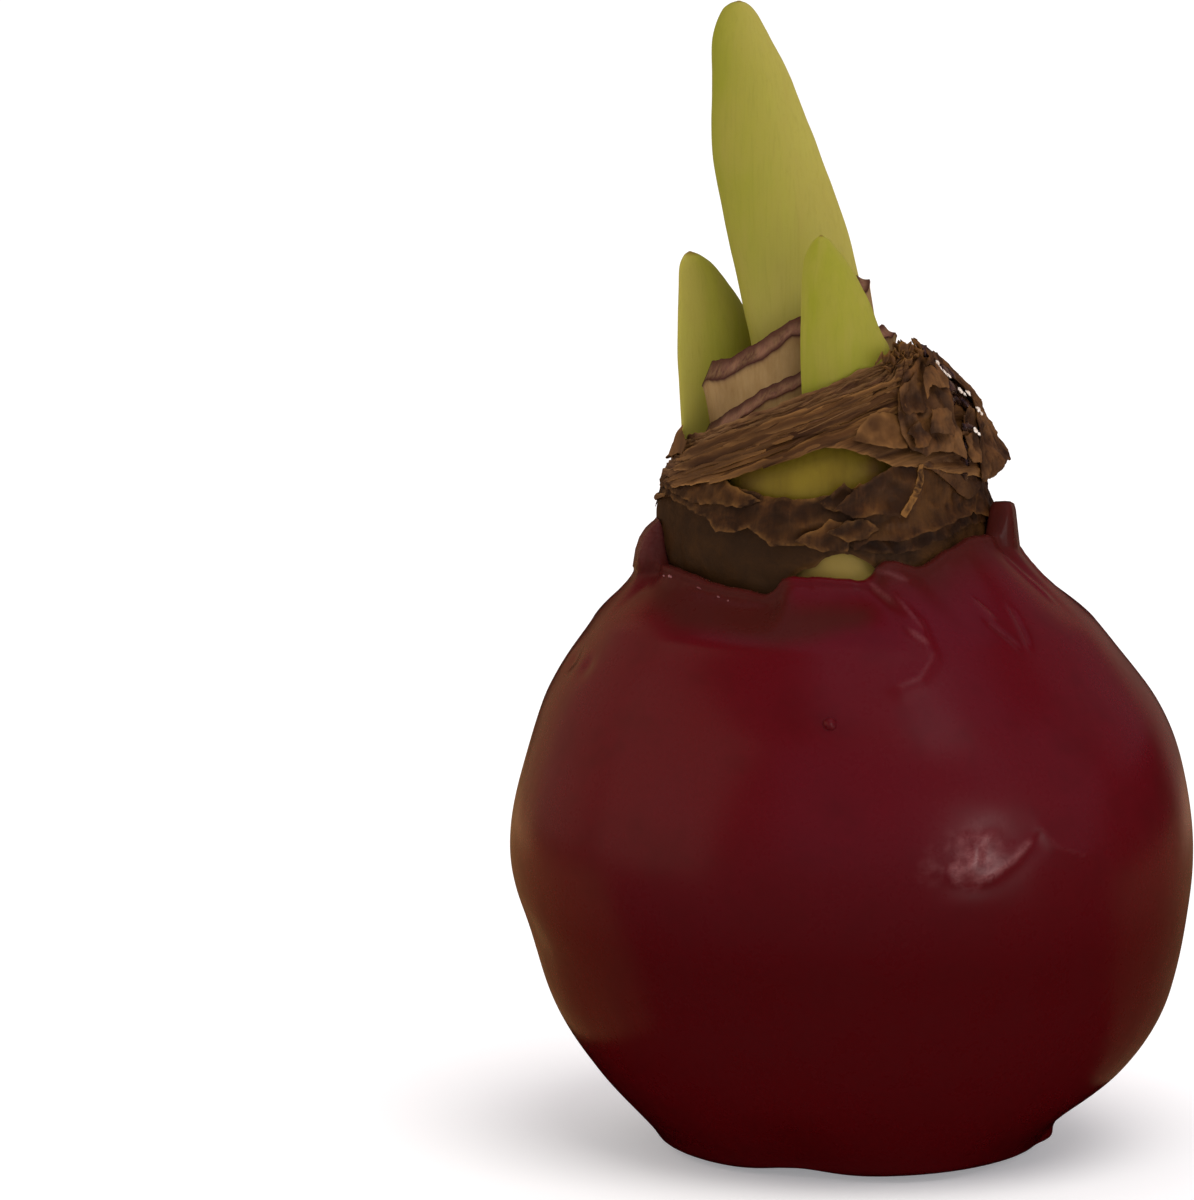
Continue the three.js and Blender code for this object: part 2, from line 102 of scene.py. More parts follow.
# Creases in the wax: how far out, how wide they fade above and below, how pale their crests are painted as
# highlights, and their line.
WAX_CREASES = [
    (0.26, 3.4, 0.8, 0.55, [(291.8, 46.0), (293.6, 46.4), (297.2, 48.1), (299.9, 49.8)]),
    (0.12, 0.7, 0.6, 0.35, [(290.2, 47.8), (290.6, 50.4), (292.8, 51.3)]),
    (0.16, 1.5, 1.0, 0.12, [(303.4, 51.6), (305.6, 49.4), (311, 47.6)]),
    (0.35, 1.1, 0.9, 0.3, [(283.2, 82.8), (285.6, 81.6)]),
    (0.2, 0.6, 0.5, 0.25, [(285.6, 85.0), (293.4, 83.8)]),
    (0.5, 1.5, 1.2, 0.22, [(288.3, 80.6), (289.6, 78.6)]),
    (0.5, 1.5, 1.2, 0.35, [(287.4, 77.2), (288.6, 76.6)]),
    (0.35, 1.6, 1.1, 0.14, [(281.1, 70.9), (285.5, 71.9), (289.6, 74.4)]),
    (0.3, 0.5, 0.5, 0.2, [(310.8, 80), (311.3, 79)]),
    (-0.25, 0.5, 0.5, 0.15, [(309.9, 77.4), (312.2, 75.3)]),
    (-0.25, 0.5, 0.5, 0.15, [(319.4, 78.7), (316.2, 75.2)]),
    (0.3, 0.8, 0.8, 0.1, [(355, 85.6), (350.5, 81.7)]),
    (0.3, 0.8, 0.8, 0.2, [(338.4, 84.4), (340.1, 80.3)]),
    (0.3, 0.9, 0.7, 0.2, [(60, 78), (70, 74)]),
    (0.3, 0.7, 0.7, 0.2, [(118, 80), (124, 76)]),
    (0.35, 3, 0.8, 0.4, [(148, 45.4), (153, 46.5), (158, 49)]),
    (0.25, 1.6, 0.8, 0.2, [(20, 60), (26, 57)]),
]
# Blisters and crumbs of wax: angle, height, half sizes across, up and out, how pale.
WAX_BLISTERS = [
    (266.5, 66.4, 1.15, 1.1, 1.5, 0.1), (96, 61, 1.4, 1.2, 0.9, 0), (158, 37, 1.1, 1.0, 0.8, 0),
    (28, 49, 1.2, 1.0, 0.8, 0), (208.2, 84.0, 0.3, 0.26, 0.4, 2),
    (209.3, 82.8, 0.34, 0.22, 0.35, 1.6), (204.8, 82.2, 0.24, 0.2, 0.35, 2),
    (223.4, 81.4, 0.5, 0.16, 0.3, 1), (231.5, 80.6, 0.3, 0.18, 0.3, 1.2),
    (235.6, 80.2, 0.22, 0.2, 0.3, 1.4), (62, 82, 0.4, 0.25, 0.35, 1),
    (140, 81.6, 0.3, 0.25, 0.35, 1.4),
]

# Lower edge of the dark skin: it lifts off a pale patch of flesh at the front.
WET_BOTTOM = [
    (0, 84.6), (90, 82), (180, 82), (215, 81.6), (241, 80), (252, 80.4), (257, 83.4), (262, 84.6),
    (267, 85.3), (270, 86.2), (276, 86.8), (282, 86.4), (286, 85.4), (289, 84.0), (293, 83.8),
    (320, 85.8), (340, 86), (360, 84.6),
]
# Its upper edge, under the torn skins.
WET_TOP = [
    (0, 91), (30, 93), (90, 92), (150, 93), (190, 93.6), (225, 94), (245, 92.6), (265, 91.6),
    (290, 93), (320, 92), (360, 91),
]
# Lower edge of the dry skin that hangs from the cut, above the window.
UPPER_BOTTOM = [
    (0, 96), (60, 95), (110, 92.5), (165, 92.4), (190, 93.6), (215, 95), (228, 96.2), (234, 96.9),
    (245, 99.1), (255, 100.6), (266, 101.3), (276, 101.2), (286, 100.1), (294, 99), (305, 98.4),
    (335, 96), (360, 96),
]


# ------------------------------------------------------------------ numbers and noise


def smooth_table(table, at):
    """Reads a table of (position, value) rows along a smooth curve through its values."""
    table = np.asarray(table, float)
    place, value = table[:, 0], table[:, 1]
    slope = np.gradient(value, place)
    at = np.clip(at, place[0], place[-1])
    i = np.clip(np.searchsorted(place, at, side="right") - 1, 0, len(place) - 2)
    width = place[i + 1] - place[i]
    t = (at - place[i]) / width
    return (
        (2 * t**3 - 3 * t**2 + 1) * value[i] + (t**3 - 2 * t**2 + t) * width * slope[i]
        + (3 * t**2 - 2 * t**3) * value[i + 1] + (t**3 - t**2) * width * slope[i + 1]
    )


def around(table, angle):
    """Reads a table of (degrees, value) rows that closes on itself."""
    rows = np.asarray(table, float)
    rows = np.concatenate([rows[-4:-1] - (360, 0), rows, rows[1:4] + (360, 0)])
    return smooth_table(rows, np.degrees(angle) % 360)


def hump(distance, half):
    """A smooth hump of height 1 at 0."""
    return np.exp(-((distance / half) ** 2))


def apart(a, b):
    """Signed difference of two angles in degrees."""
    return (a - b + 180) % 360 - 180


def ease(value, start, end):
    """0 before start, 1 after end, and smooth between."""
    t = np.clip((value - start) / (end - start), 0, 1)
    return t * t * (3 - 2 * t)


# The lattice of the noise stands askew, so that none of its planes lines up with the bulb.
ASKEW = np.array([[0.36, 0.48, -0.8], [-0.8, 0.6, 0.0], [0.48, 0.64, 0.6]])


def lattice_noise(points, seed):
    """Smooth random values from -1 to 1, on a lattice of step 1."""
    points = points @ ASKEW
    cell = np.floor(points)
    part = points - cell
    part = part**3 * (part * (part * 6 - 15) + 10)
    cell = cell.astype(np.int64)
    total = np.zeros(points.shape[:-1])
    for corner in itertools.product((0, 1), repeat=3):
        x, y, z = np.moveaxis(cell + np.array(corner), -1, 0)
        mixed = (x * 374761393 + y * 668265263 + z * 1274126177 + seed * 974634777) & 0xFFFFFFFF
        for shift, factor in ((13, 1103515245), (16, 2246822519), (15, 3266489917)):
            mixed = ((mixed ^ (mixed >> shift)) * factor) & 0xFFFFFFFF
        weight = np.prod(np.where(np.array(corner) == 1, part, 1 - part), axis=-1)
        total += weight * ((mixed >> 16) / 32767.5 - 1)
    return total


def clouds(points, size, seed, octaves=3):
    """Cloudy random values from about -1 to 1, with lumps of a given size."""
    points = np.asarray(points, float) / size
    layers = (lattice_noise(points * 2**n, seed + n) / 2**n for n in range(octaves))
    return sum(layers) * 0.8


def ridges(points, size, seed, octaves=3):
    """Random values from 0 to 1 with sharp crests, as in crumpled leather."""
    points = np.asarray(points, float) / size
    layers = (
        (1 - np.abs(lattice_noise(points * 2**n, seed + n)) * 1.6) / 2**n for n in range(octaves)
    )
    return np.clip(sum(layers) / 1.5, -0.2, 1)


def ring_place(angle, height, reach=22.0):
    """Points for noise that closes on itself round the bulb."""
    angle, height = np.broadcast_arrays(angle, height)
    return np.stack([np.cos(angle) * reach, np.sin(angle) * reach, height], -1)


# ------------------------------------------------------------------ the neck


def neck_point(angle, height, out):
    """A point so far outside the flesh of the neck. On the right the neck closes like a hood."""
    share = np.maximum(0, np.cos(angle)) ** 2.6
    reach = smooth_table(NECK, height) * (1 - share) + smooth_table(HOOD, height) * share + out
    x = smooth_table(LEAN, height) + reach * np.cos(angle)
    y = reach * np.sin(angle)
    return np.stack(np.broadcast_arrays(x, y, height), -1)


def cut_plane(x, y, drop):
    """Height of the slanting knife cut, or of a level so far under it."""
    return 109.2 + 0.4 * x - 0.1 * y + 0.002 * (x + 7) ** 2 - drop


def cut_height(angle, out, drop):
    """The height at which a layer of the neck meets the cut."""
    low = np.full(np.shape(angle), 85.0)
    high = np.full(np.shape(angle), 120.0)
    for _ in range(26):
        height = (low + high) / 2
        point = neck_point(angle, height, out)
        under = height < cut_plane(point[..., 0], point[..., 1], drop)
        low, high = np.where(under, height, low), np.where(under, high, height)
    return low


# ------------------------------------------------------------------ skins


def loft(loops, ring=False):
    """Faces of a closed skin through loops (loop, point, xyz), capped at the ends of an open row."""
    rows, count = loops.shape[:2]
    i = np.arange(rows if ring else rows - 1)[:, None]
    j = np.arange(count)[None]
    beside, above = (j + 1) % count, (i + 1) % rows
    quads = np.stack(np.broadcast_arrays(
        i * count + j, i * count + beside, above * count + beside, above * count + j), -1)
    faces = quads.reshape(-1, 4).tolist()
    if not ring:
        last = (rows - 1) * count
        for k in range((count - 1) // 2):
            a, b, c, d = k, k + 1, count - 2 - k, count - 1 - k
            cap = [a, d, c, b] if b != c else [a, d, b]
            faces.append(cap)
            faces.append([last + corner for corner in reversed(cap)])
    points = loops.reshape(-1, 3)
    corners = np.array([face[:3] for face in faces])
    a, b, c = (points[corners[:, n]] for n in range(3))
    inside_out = np.einsum("ij,ij->i", a, np.cross(b, c)).sum() < 0
    return [face[::-1] for face in faces] if inside_out else faces


def pebble(wide, tall, deep, lumpy, size, seed):
    """Loops of a small lumpy pebble round the origin, as (across, up, out)."""
    turn = np.linspace(0, 2 * np.pi, 28, endpoint=False)[None, :]
    tilt = np.linspace(-1.5, 1.5, 15)[:, None]
    place = np.stack(np.broadcast_arrays(
        np.cos(tilt) * np.cos(turn) * wide, np.sin(tilt) * tall, np.cos(tilt) * np.sin(turn) * deep), -1)
    return place * (1 + lumpy * clouds(place, size, seed, 2))[..., None]


class Skins:
    """Gathers the skins of one piece, with what its finish reads at each point."""

    def __init__(self):
        self.points, self.faces, self.count = [], [], 0
        self.read = {"grain": [], "edge": [], "tone": []}

    def add(self, points, faces, grain, edge=0.0, tone=0.0):
        """Adds one skin. Grain is a place for the noise of the finish; edge and tone go from 0 to 1."""
        points = np.asarray(points, float).reshape(-1, 3)
        total = len(points)
        self.faces += [[corner + self.count for corner in face] for face in faces]
        self.count += total
        self.points.append(points)
        self.read["grain"].append(np.broadcast_to(grain, (total, 3)))
        self.read["edge"].append(np.broadcast_to(np.ravel(edge), (total,)))
        self.read["tone"].append(np.broadcast_to(np.ravel(tone), (total,)))

    def sheet(self, outer, inner, ring, **read):
        """Adds a sheet from grids (column, row, xyz) of its outer and inner face."""
        loops = np.concatenate([outer, inner[:, ::-1]], 1)
        both = {}
        for name, value in read.items():
            value = np.broadcast_to(value, outer.shape[: 3 if name == "grain" else 2])
            both[name] = np.concatenate([value, value[:, ::-1]], 1)
        if "grain" in both:
            both["grain"] = both["grain"].reshape(-1, 3)
        self.add(loops, loft(loops, ring), **both)

    def piece(self, name, finish, slot, *nodes, sharp=60):
        """Makes the object, which rides with the bulb and stands for the model's nodes."""
        mesh = bpy.data.meshes.new(name)
        mesh.from_pydata(np.concatenate(self.points) * MM, [], self.faces)
        for word, kind in (("grain", "FLOAT_VECTOR"), ("edge", "FLOAT"), ("tone", "FLOAT")):
            values = np.concatenate(self.read[word]).astype(np.float32)
            attribute = mesh.attributes.new(word, kind, "POINT")
            attribute.data.foreach_set("vector" if word == "grain" else "value", values.ravel())
        mesh.shade_smooth()
        mesh.set_sharp_from_angle(angle=math.radians(sharp))
        mesh.materials.append(finish)
        mesh.update()
        piece = bpy.data.objects.new(name, mesh)
        bpy.context.scene.collection.objects.link(piece)
        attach(piece, "root")
        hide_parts(*nodes)


# The radius at which a flap is laid flat, to be cut out.
FLAT_REACH = 23.0


def inside(points, edge):
    """Which flat points lie inside a closed edge."""
    start, end = edge, np.roll(edge, -1, 0)
    x, y = points[:, :1], points[:, 1:2]
    spans = (start[:, 1] > y) != (end[:, 1] > y)
    rise = np.where(end[:, 1] == start[:, 1], 1e-9, end[:, 1] - start[:, 1])
    cross = start[:, 0] + (y - start[:, 1]) * (end[:, 0] - start[:, 0]) / rise
    return (spans & (x < cross)).sum(1) % 2 == 1


def torn_flap(skins, outline, seed, rest, curl=1.6, tear=0.3, crumple=0.3, thick=0.3,
              step=0.42, tone=0.5, light=0.4):
    """Adds a torn piece of papery skin, from an outline of (angle, height, out) round the neck.

    Away from its edges it rests so far outside the flesh, and its edges curl to the outs given.
    """
    corners = np.array([(math.radians(a) * FLAT_REACH, z, out) for a, z, out in outline])
    stretches = []
    for start, end in zip(corners, np.roll(corners, -1, 0)):
        steps = max(1, round(math.dist(start[:2], end[:2]) / (0.8 * step)))
        stretches.append(start + (end - start) * np.linspace(0, 1, steps, endpoint=False)[:, None])
    edge = np.concatenate(stretches)
    place = np.column_stack([edge[:, :2], np.full(len(edge), seed * 7.3)])
    edge[:, 0] += tear * (clouds(place, 1.7, seed) + 0.35 * clouds(place, 0.6, seed + 3))
    edge[:, 1] += tear * (clouds(place, 1.7, seed + 9) + 0.35 * clouds(place, 0.6, seed + 5))
    low, high = edge[:, :2].min(0), edge[:, :2].max(0)
    u, v = np.meshgrid(np.arange(low[0], high[0], step), np.arange(low[1], high[1], step * 0.87))
    u[1::2] += step / 2
    grid = np.column_stack([u.ravel(), v.ravel()])
    grid = grid[inside(grid, edge[:, :2])]
    near = np.linalg.norm(grid[:, None] - edge[None, :, :2], axis=2).min(1)
    grid = grid[near > 0.55 * step]
    flat = [Vector(point) for point in np.concatenate([edge[:, :2], grid])]
    made = delaunay_2d_cdt(flat, [], [list(range(len(edge)))], 1, 1e-6)
    flat = np.array([tuple(point) for point in made[0]])
    triangles = np.array([list(face) for face in made[2]])

    gap = np.linalg.norm(flat[:, None] - edge[None, :, :2], axis=2)
    from_edge = gap.min(1)
    weight = 1 / (gap**2 + 0.05)
    curled = (weight * edge[:, 2]).sum(1) / weight.sum(1)
    place = np.column_stack([flat, np.full(len(flat), seed * 3.1)])
    out = rest + (curled - rest) * np.exp(-((from_edge / curl) ** 1.5))
    wrinkle = ridges(place, 3.8, seed + 20, 2) - 0.5 + 0.35 * (ridges(place, 1.5, seed + 30, 2) - 0.5)
    out = out + crumple * wrinkle * (0.35 + 0.65 * ease(from_edge, 0, 1.2))
    half = thick / 2 * (0.35 + 0.65 * ease(from_edge, 0, 0.7))
    angle = flat[:, 0] / FLAT_REACH
    faces_out = neck_point(angle, flat[:, 1], out + half)
    faces_in = neck_point(angle, flat[:, 1], out - half)

    count = len(flat)
    sides = np.concatenate([triangles[:, [0, 1]], triangles[:, [1, 2]], triangles[:, [2, 0]]])
    key = np.sort(sides, 1) @ (count, 1)
    _, first, times = np.unique(key, return_index=True, return_counts=True)
    rim = sides[first[times == 1]]
    strip = np.column_stack([rim[:, 1], rim[:, 0], rim[:, 0] + count, rim[:, 1] + count])
    faces = triangles.tolist() + (triangles[:, ::-1] + count).tolist() + strip.tolist()
    skins.add(
        np.concatenate([faces_out, faces_in]), faces,
        grain=np.tile(np.column_stack([flat[:, 0], flat[:, 1], np.full(count, seed * 5.0)]), (2, 1)),
        # edge also pales the crests of the wrinkles, a painted highlight, and tone darkens their valleys,
        # painted shade
        edge=np.tile(light * np.exp(-from_edge / 0.45) + 0.15 * ease(wrinkle, 0.25, 0.55), 2),
        tone=np.tile(np.clip(tone - 1.6 * wrinkle, 0, 1), 2))


# ------------------------------------------------------------------ finishes


class Finish:
    """A material with one Principled shader, and short ways to add the nodes that feed it."""

    def __init__(self, name, **constants):
        self.material = bpy.data.materials.new(name)
        self.material.use_nodes = True
        self.nodes = self.material.node_tree.nodes
        self.links = self.material.node_tree.links
        self.shader = self.nodes["Principled BSDF"]
        for socket, value in constants.items():
            self.shader.inputs[socket.replace("_", " ")].default_value = value

    def node(self, kind, output=0, settings=(), **inputs):
        """Adds a node, sets or links its inputs by name or place, and returns one of its outputs."""
        node = self.nodes.new("ShaderNode" + kind)
        for key, value in settings:
            setattr(node, key, value)
        for key, value in inputs.items():
            key = int(key[2:]) if key.startswith("at") and key[2:].isdigit() else key.replace("_", " ")
            self.feed(node.inputs[key], value)
        return node.outputs[output]

    def feed(self, socket, value):
        """Links a socket to another, or sets its value."""
        if isinstance(value, bpy.types.NodeSocket):
            self.links.new(value, socket)
        else:
            socket.default_value = value

    def read(self, word):
        """What the mesh says at each point: grain is a place in millimetres, the rest a share."""
        output = 1 if word == "grain" else 2
        return self.node("Attribute", output, [("attribute_name", word)])

    def stretched(self, x, y, z):
        """The grain's place with each direction scaled, so that noise runs along the rest."""
        return self.node("Mapping", Vector=self.read("grain"), Scale=(x, y, z))

    def noise(self, place, size, detail=3.0, rough=0.55, twist=0.0):
        """Noise with lumps of a size in millimetres, from 0 to 1."""
        return self.node("TexNoise", 0, Vector=place, Scale=1 / size, Detail=detail,
                         Roughness=rough, Distortion=twist)

    def spread(self, value, low, high, to_low=0.0, to_high=1.0):
        """Stretches a range of values over another, and clamps it."""
        return self.node("MapRange", at0=value, at1=low, at2=high, at3=to_low, at4=to_high)

    def blend(self, share, first, second):
        """Mixes two colours."""
        first, second = (
            c if isinstance(c, bpy.types.NodeSocket) else (*c, 1) for c in (first, second))
        return self.node("Mix", 2, [("data_type", "RGBA")], at0=share, at6=first, at7=second)

    def sums(self, how, first, second):
        """Adds or multiplies two values."""
        return self.node("Math", 0, [("operation", how)], at0=first, at1=second)

    def dress(self, colour, rough, *bumps):
        """Feeds the shader its colour, roughness and bumps, each (height, depth in millimetres)."""
        self.feed(self.shader.inputs["Base Color"], colour)
        self.feed(self.shader.inputs["Roughness"], rough)
        normal = None
        for height, depth in bumps:
            more = {"Normal": normal} if normal else {}
            normal = self.node("Bump", Strength=1.0, Distance=depth * MM, Height=height, **more)
        if normal:
            self.links.new(normal, self.shader.inputs["Normal"])
        return self.material


def screen(red, green, blue):
    """A screen colour of 0 to 255 as the linear colour a shader takes."""
    return tuple(
        c / 12.92 if c <= 0.04045 else ((c + 0.055) / 1.055) ** 2.4
        for c in (red / 255, green / 255, blue / 255))


def wax_finish(wax):
    """Dipped wax: cloudy, glossy where it is thick, dull at the foot and by the rim, with painted
    highlights where it is painted pale and painted shade darkening it towards the foot.
    """
    f = Finish("burgundy_wax", Specular_IOR_Level=0.05, Coat_Weight=0.75, Coat_Roughness=0.26,
               Subsurface_Weight=0.08, Subsurface_Radius=(0.0035, 0.0006, 0.0006), Subsurface_Scale=1.0)
    place = f.stretched(1, 1, 1)
    wide = f.noise(place, 26, 2.0)
    cloudy = f.noise(place, 7, 4.0, 0.6)
    fine = f.noise(place, 0.9, 3.0)
    colour = f.blend(f.spread(wide, 0.35, 0.68), tuple(wax.colour), tuple(wax.bloom))
    colour = f.blend(f.spread(cloudy, 0.52, 0.75, 0, 0.35), colour, tuple(wax.deep))
    # painted shade: the wax is darkened towards the foot
    height = f.node("SeparateXYZ", 2, Vector=place)
    colour = f.blend(f.spread(height, 55, 32, 0, 0.9), colour, tuple(wax.deep))
    colour = f.blend(f.spread(f.read("tone"), 0.0, 1.0, 0, 0.85), colour, tuple(wax.thin))
    wrinkled = f.noise(f.stretched(1, 1, 1.4), 1.3, 3.0, 0.6, 1.5)
    # painted highlight: where edge is high, broken up by the wrinkle noise, the wax is mixed towards a
    # pale pink
    painted_highlight = f.sums("MULTIPLY", f.read("edge"), f.spread(wrinkled, 0.3, 0.6, 0.45, 1.0))
    colour = f.blend(f.spread(painted_highlight, 0.05, 2.0, 0, 1), colour, tuple(wax.highlight_pink))
    rough = f.spread(cloudy, 0.3, 0.7, wax.roughness - 0.04, wax.roughness + 0.07)
    rough = f.sums("ADD", rough, f.spread(fine, 0.3, 0.7, -0.02, 0.03))
    # the foot and the rim are duller
    dull = f.spread(f.read("tone"), 0.0, 0.9, 1, 0.3)
    gloss = f.sums("MULTIPLY", dull, f.spread(height, 48, 35, 0.75, 0.16))
    f.feed(f.shader.inputs["Coat Weight"], gloss)
    wrinkles = f.sums("MULTIPLY", wrinkled, f.read("edge"))
    return f.dress(colour, rough, (wide, 0.5), (cloudy, 0.08), (wrinkles, 0.1))


def flesh_finish():
    """The bare flesh: green-yellow in the window, cream where tone is 1, brown where edge is 1."""
    f = Finish("green_flesh", Specular_IOR_Level=0.15, Subsurface_Weight=0.15,
               Subsurface_Radius=(0.002, 0.0016, 0.0006), Subsurface_Scale=1.0)
    veins = f.noise(f.stretched(1, 1, 0.1), 0.8, 3.0)
    wide = f.noise(f.stretched(1, 1, 0.5), 5, 3.0)
    colour = f.blend(f.spread(wide, 0.35, 0.65), screen(104, 86, 20), screen(116, 98, 24))
    colour = f.blend(f.spread(veins, 0.5, 0.8, 0, 0.4), colour, screen(88, 70, 18))
    colour = f.blend(f.read("tone"), colour, screen(156, 134, 66))
    colour = f.blend(f.read("edge"), colour, screen(84, 56, 22))
    return f.dress(colour, f.spread(wide, 0.3, 0.7, 0.42, 0.55), (veins, 0.06))


def papery_finish(name, dark, middle, light, torn, rough, gloss=0.3, vein=0.12, specular=0.12,
                  run=(1.0, 0.16, 1.0), lumps=(1, 1, 1), rugged=0.12):
    """A dry skin: mottled, veined, and paler where it is torn. Tone darkens it."""
    f = Finish(name, Specular_IOR_Level=specular)
    place = f.stretched(*lumps)
    along = f.stretched(*run)
    mottled = f.noise(place, 2.6, 5.0, 0.62, 0.4)
    wide = f.noise(place, 8, 2.0)
    veins = f.noise(along, 0.45, 4.0, 0.6)
    colour = f.blend(f.spread(mottled, 0.36, 0.64), dark, middle)
    colour = f.blend(f.spread(wide, 0.45, 0.7, 0, 0.7), colour, light)
    colour = f.blend(f.spread(veins, 0.5, 0.75, 0, 0.35), colour, light)
    colour = f.blend(f.spread(veins, 0.5, 0.28, 0, 0.35), colour, dark)
    colour = f.blend(f.spread(f.read("tone"), 0, 1, 0, 0.8), colour, dark)
    ragged = f.sums("MULTIPLY", f.read("edge"), f.spread(mottled, 0.38, 0.66, 0, 1))
    colour = f.blend(f.spread(ragged, 0.05, 0.8), colour, torn)
    roughness = f.spread(mottled, 0.35, 0.7, rough, rough - gloss)
    return f.dress(colour, roughness, (mottled, rugged), (veins, vein))


def cut_finish():
    """The frayed edges of the cut skins, with fibres along the cut."""
    f = Finish("frayed_cut_edges", Specular_IOR_Level=0.12)
    along = f.stretched(0.12, 0.12, 1.0)
    fibres = f.noise(along, 0.32, 4.0, 0.65, 0.3)
    wide = f.noise(f.stretched(0.5, 0.5, 1), 2.2, 3.0)
    colour = f.blend(f.spread(fibres, 0.35, 0.66), screen(64, 38, 18), screen(118, 82, 47))
    colour = f.blend(f.spread(wide, 0.5, 0.72, 0, 0.55), colour, screen(88, 56, 44))
    colour = f.blend(f.spread(f.read("edge"), 0.2, 1, 0, 0.75), colour, screen(142, 106, 66))
    colour = f.blend(f.spread(f.read("tone"), 0, 1, 0, 0.8), colour, screen(48, 28, 15))
    return f.dress(colour, f.spread(fibres, 0.3, 0.7, 0.72, 0.5), (fibres, 0.16), (wide, 0.1))


def scale_finish():
    """Cream leaf base, with a dried purple-brown edge where edge and tone are 1."""
    f = Finish("cream_cut_scale", Specular_IOR_Level=0.15, Subsurface_Weight=0.12,
               Subsurface_Radius=(0.002, 0.0013, 0.0007), Subsurface_Scale=1.0)
    veins = f.noise(f.stretched(1, 1, 0.08), 0.5, 4.0, 0.6)
    blotch = f.noise(f.stretched(1, 1, 0.6), 3.2, 4.0, 0.6)
    colour = f.blend(f.spread(blotch, 0.35, 0.68), screen(150, 121, 77), screen(134, 105, 63))
    colour = f.blend(f.spread(veins, 0.5, 0.75, 0, 0.5), colour, screen(132, 100, 58))
    colour = f.blend(f.spread(blotch, 0.6, 0.76, 0, 0.6), colour, screen(120, 82, 52))
    stained = f.sums("MULTIPLY", f.read("tone"), f.spread(veins, 0.2, 0.8, 0.7, 1.15))
    dried = f.blend(f.spread(blotch, 0.4, 0.62), screen(74, 43, 33), screen(118, 80, 64))
    colour = f.blend(f.spread(stained, 0.25, 0.95), colour, dried)
    colour = f.blend(f.spread(f.read("edge"), 0.3, 0.95), colour, screen(66, 35, 27))
    return f.dress(colour, f.spread(veins, 0.3, 0.7, 0.5, 0.66), (veins, 0.08), (blotch, 0.12))


def shoot_finish(shoots):
    """Green shoot, yellower where tone is 1 (its lit side, painted light, and its foot) and brown where
    edge is 1.
    """
    f = Finish("green_shoot", Specular_IOR_Level=0.12, Subsurface_Weight=0.2,
               Subsurface_Radius=(0.0022, 0.002, 0.0006), Subsurface_Scale=1.0)
    veins = f.noise(f.stretched(1, 1, 0.04), 0.42, 3.0)
    soft = f.noise(f.stretched(1, 1, 0.35), 6, 3.0)
    speckle = f.noise(f.stretched(1, 1, 1), 0.6, 2.0)
    streaks = f.noise(f.stretched(1, 1, 0.05), 1.5, 2.0)
    colour = f.blend(f.read("tone"), tuple(shoots.green), tuple(shoots.yellow_and_lit))
    colour = f.blend(f.spread(soft, 0.4, 0.66, 0, 0.45), colour, tuple(shoots.warm))
    colour = f.blend(f.spread(veins, 0.5, 0.8, 0, 0.22), colour, tuple(shoots.deep))
    colour = f.blend(f.spread(streaks, 0.55, 0.75, 0, 0.3), colour, tuple(shoots.warm))
    colour = f.blend(f.spread(speckle, 0.62, 0.8, 0, 0.12), colour, tuple(shoots.deep))
    colour = f.blend(f.spread(f.read("edge"), 0.1, 1.0, 0, 0.9), colour, screen(104, 66, 26))
    return f.dress(colour, f.spread(soft, 0.3, 0.7, 0.4, 0.5), (veins, 0.035), (speckle, 0.02))


def wet_fold_finish():
    """Dark skin, wet with sap."""
    f = Finish("wet_dark_skin", Specular_IOR_Level=0.6, Coat_Weight=0.6, Coat_Roughness=0.08)
    mottled = f.noise(f.stretched(1, 1, 1), 0.9, 3.0)
    colour = f.blend(f.spread(mottled, 0.35, 0.65), screen(26, 15, 11), screen(62, 38, 24))
    return f.dress(colour, f.spread(mottled, 0.3, 0.7, 0.12, 0.3), (mottled, 0.12))


def sap_glint_finish():
    """Pale drops of dried sap, near white, which paint glints in the hollow."""
    f = Finish("dried_sap_glints", Specular_IOR_Level=0.5, Coat_Weight=0.4, Coat_Roughness=0.1)
    cloudy = f.noise(f.stretched(1, 1, 1), 0.5, 3.0)
    colour = f.blend(f.spread(cloudy, 0.35, 0.65), screen(206, 184, 160), screen(244, 236, 226))
    return f.dress(colour, f.spread(cloudy, 0.3, 0.7, 0.2, 0.4), (cloudy, 0.05))


# ------------------------------------------------------------------ settings


class AmaryllisWax(bpy.types.PropertyGroup):
    """Shape and colour of the wax coat."""

    colour: FloatVectorProperty(
        name="Colour", description="The wax where it is thick", subtype="COLOR",
        default=screen(81, 1, 9), min=0, max=1)
    bloom: FloatVectorProperty(
        name="Bloom", description="The wax where it has a paler bloom", subtype="COLOR",
        default=screen(80, 4, 14), min=0, max=1)
    # also the painted shade that darkens the wax towards the foot
    deep: FloatVectorProperty(
        name="Deep", description="The darkest clouds in the wax", subtype="COLOR",
        default=screen(62, 0, 2), min=0, max=1)
    thin: FloatVectorProperty(
        name="Thin", description="The wax by its rim, where the skin shows through", subtype="COLOR",
        default=screen(60, 24, 18), min=0, max=1)
    # painted highlight: the pale pink for the wax's painted highlights by the dent and on crease crests;
    # the pale crumbs take it too
    highlight_pink: FloatVectorProperty(
        name="Scuffed", description="The wax where it is rubbed pale", subtype="COLOR",
        default=screen(150, 96, 96), min=0, max=1)
    roughness: FloatProperty(
        name="Roughness", description="How dull the wax is", default=0.27, min=0.05, max=1,
        subtype="FACTOR")
    ripple: FloatProperty(
        name="Ripple", description="How far the dipped wax waves in and out", default=0.00035,
        min=0, max=0.002, subtype="DISTANCE", unit="LENGTH")


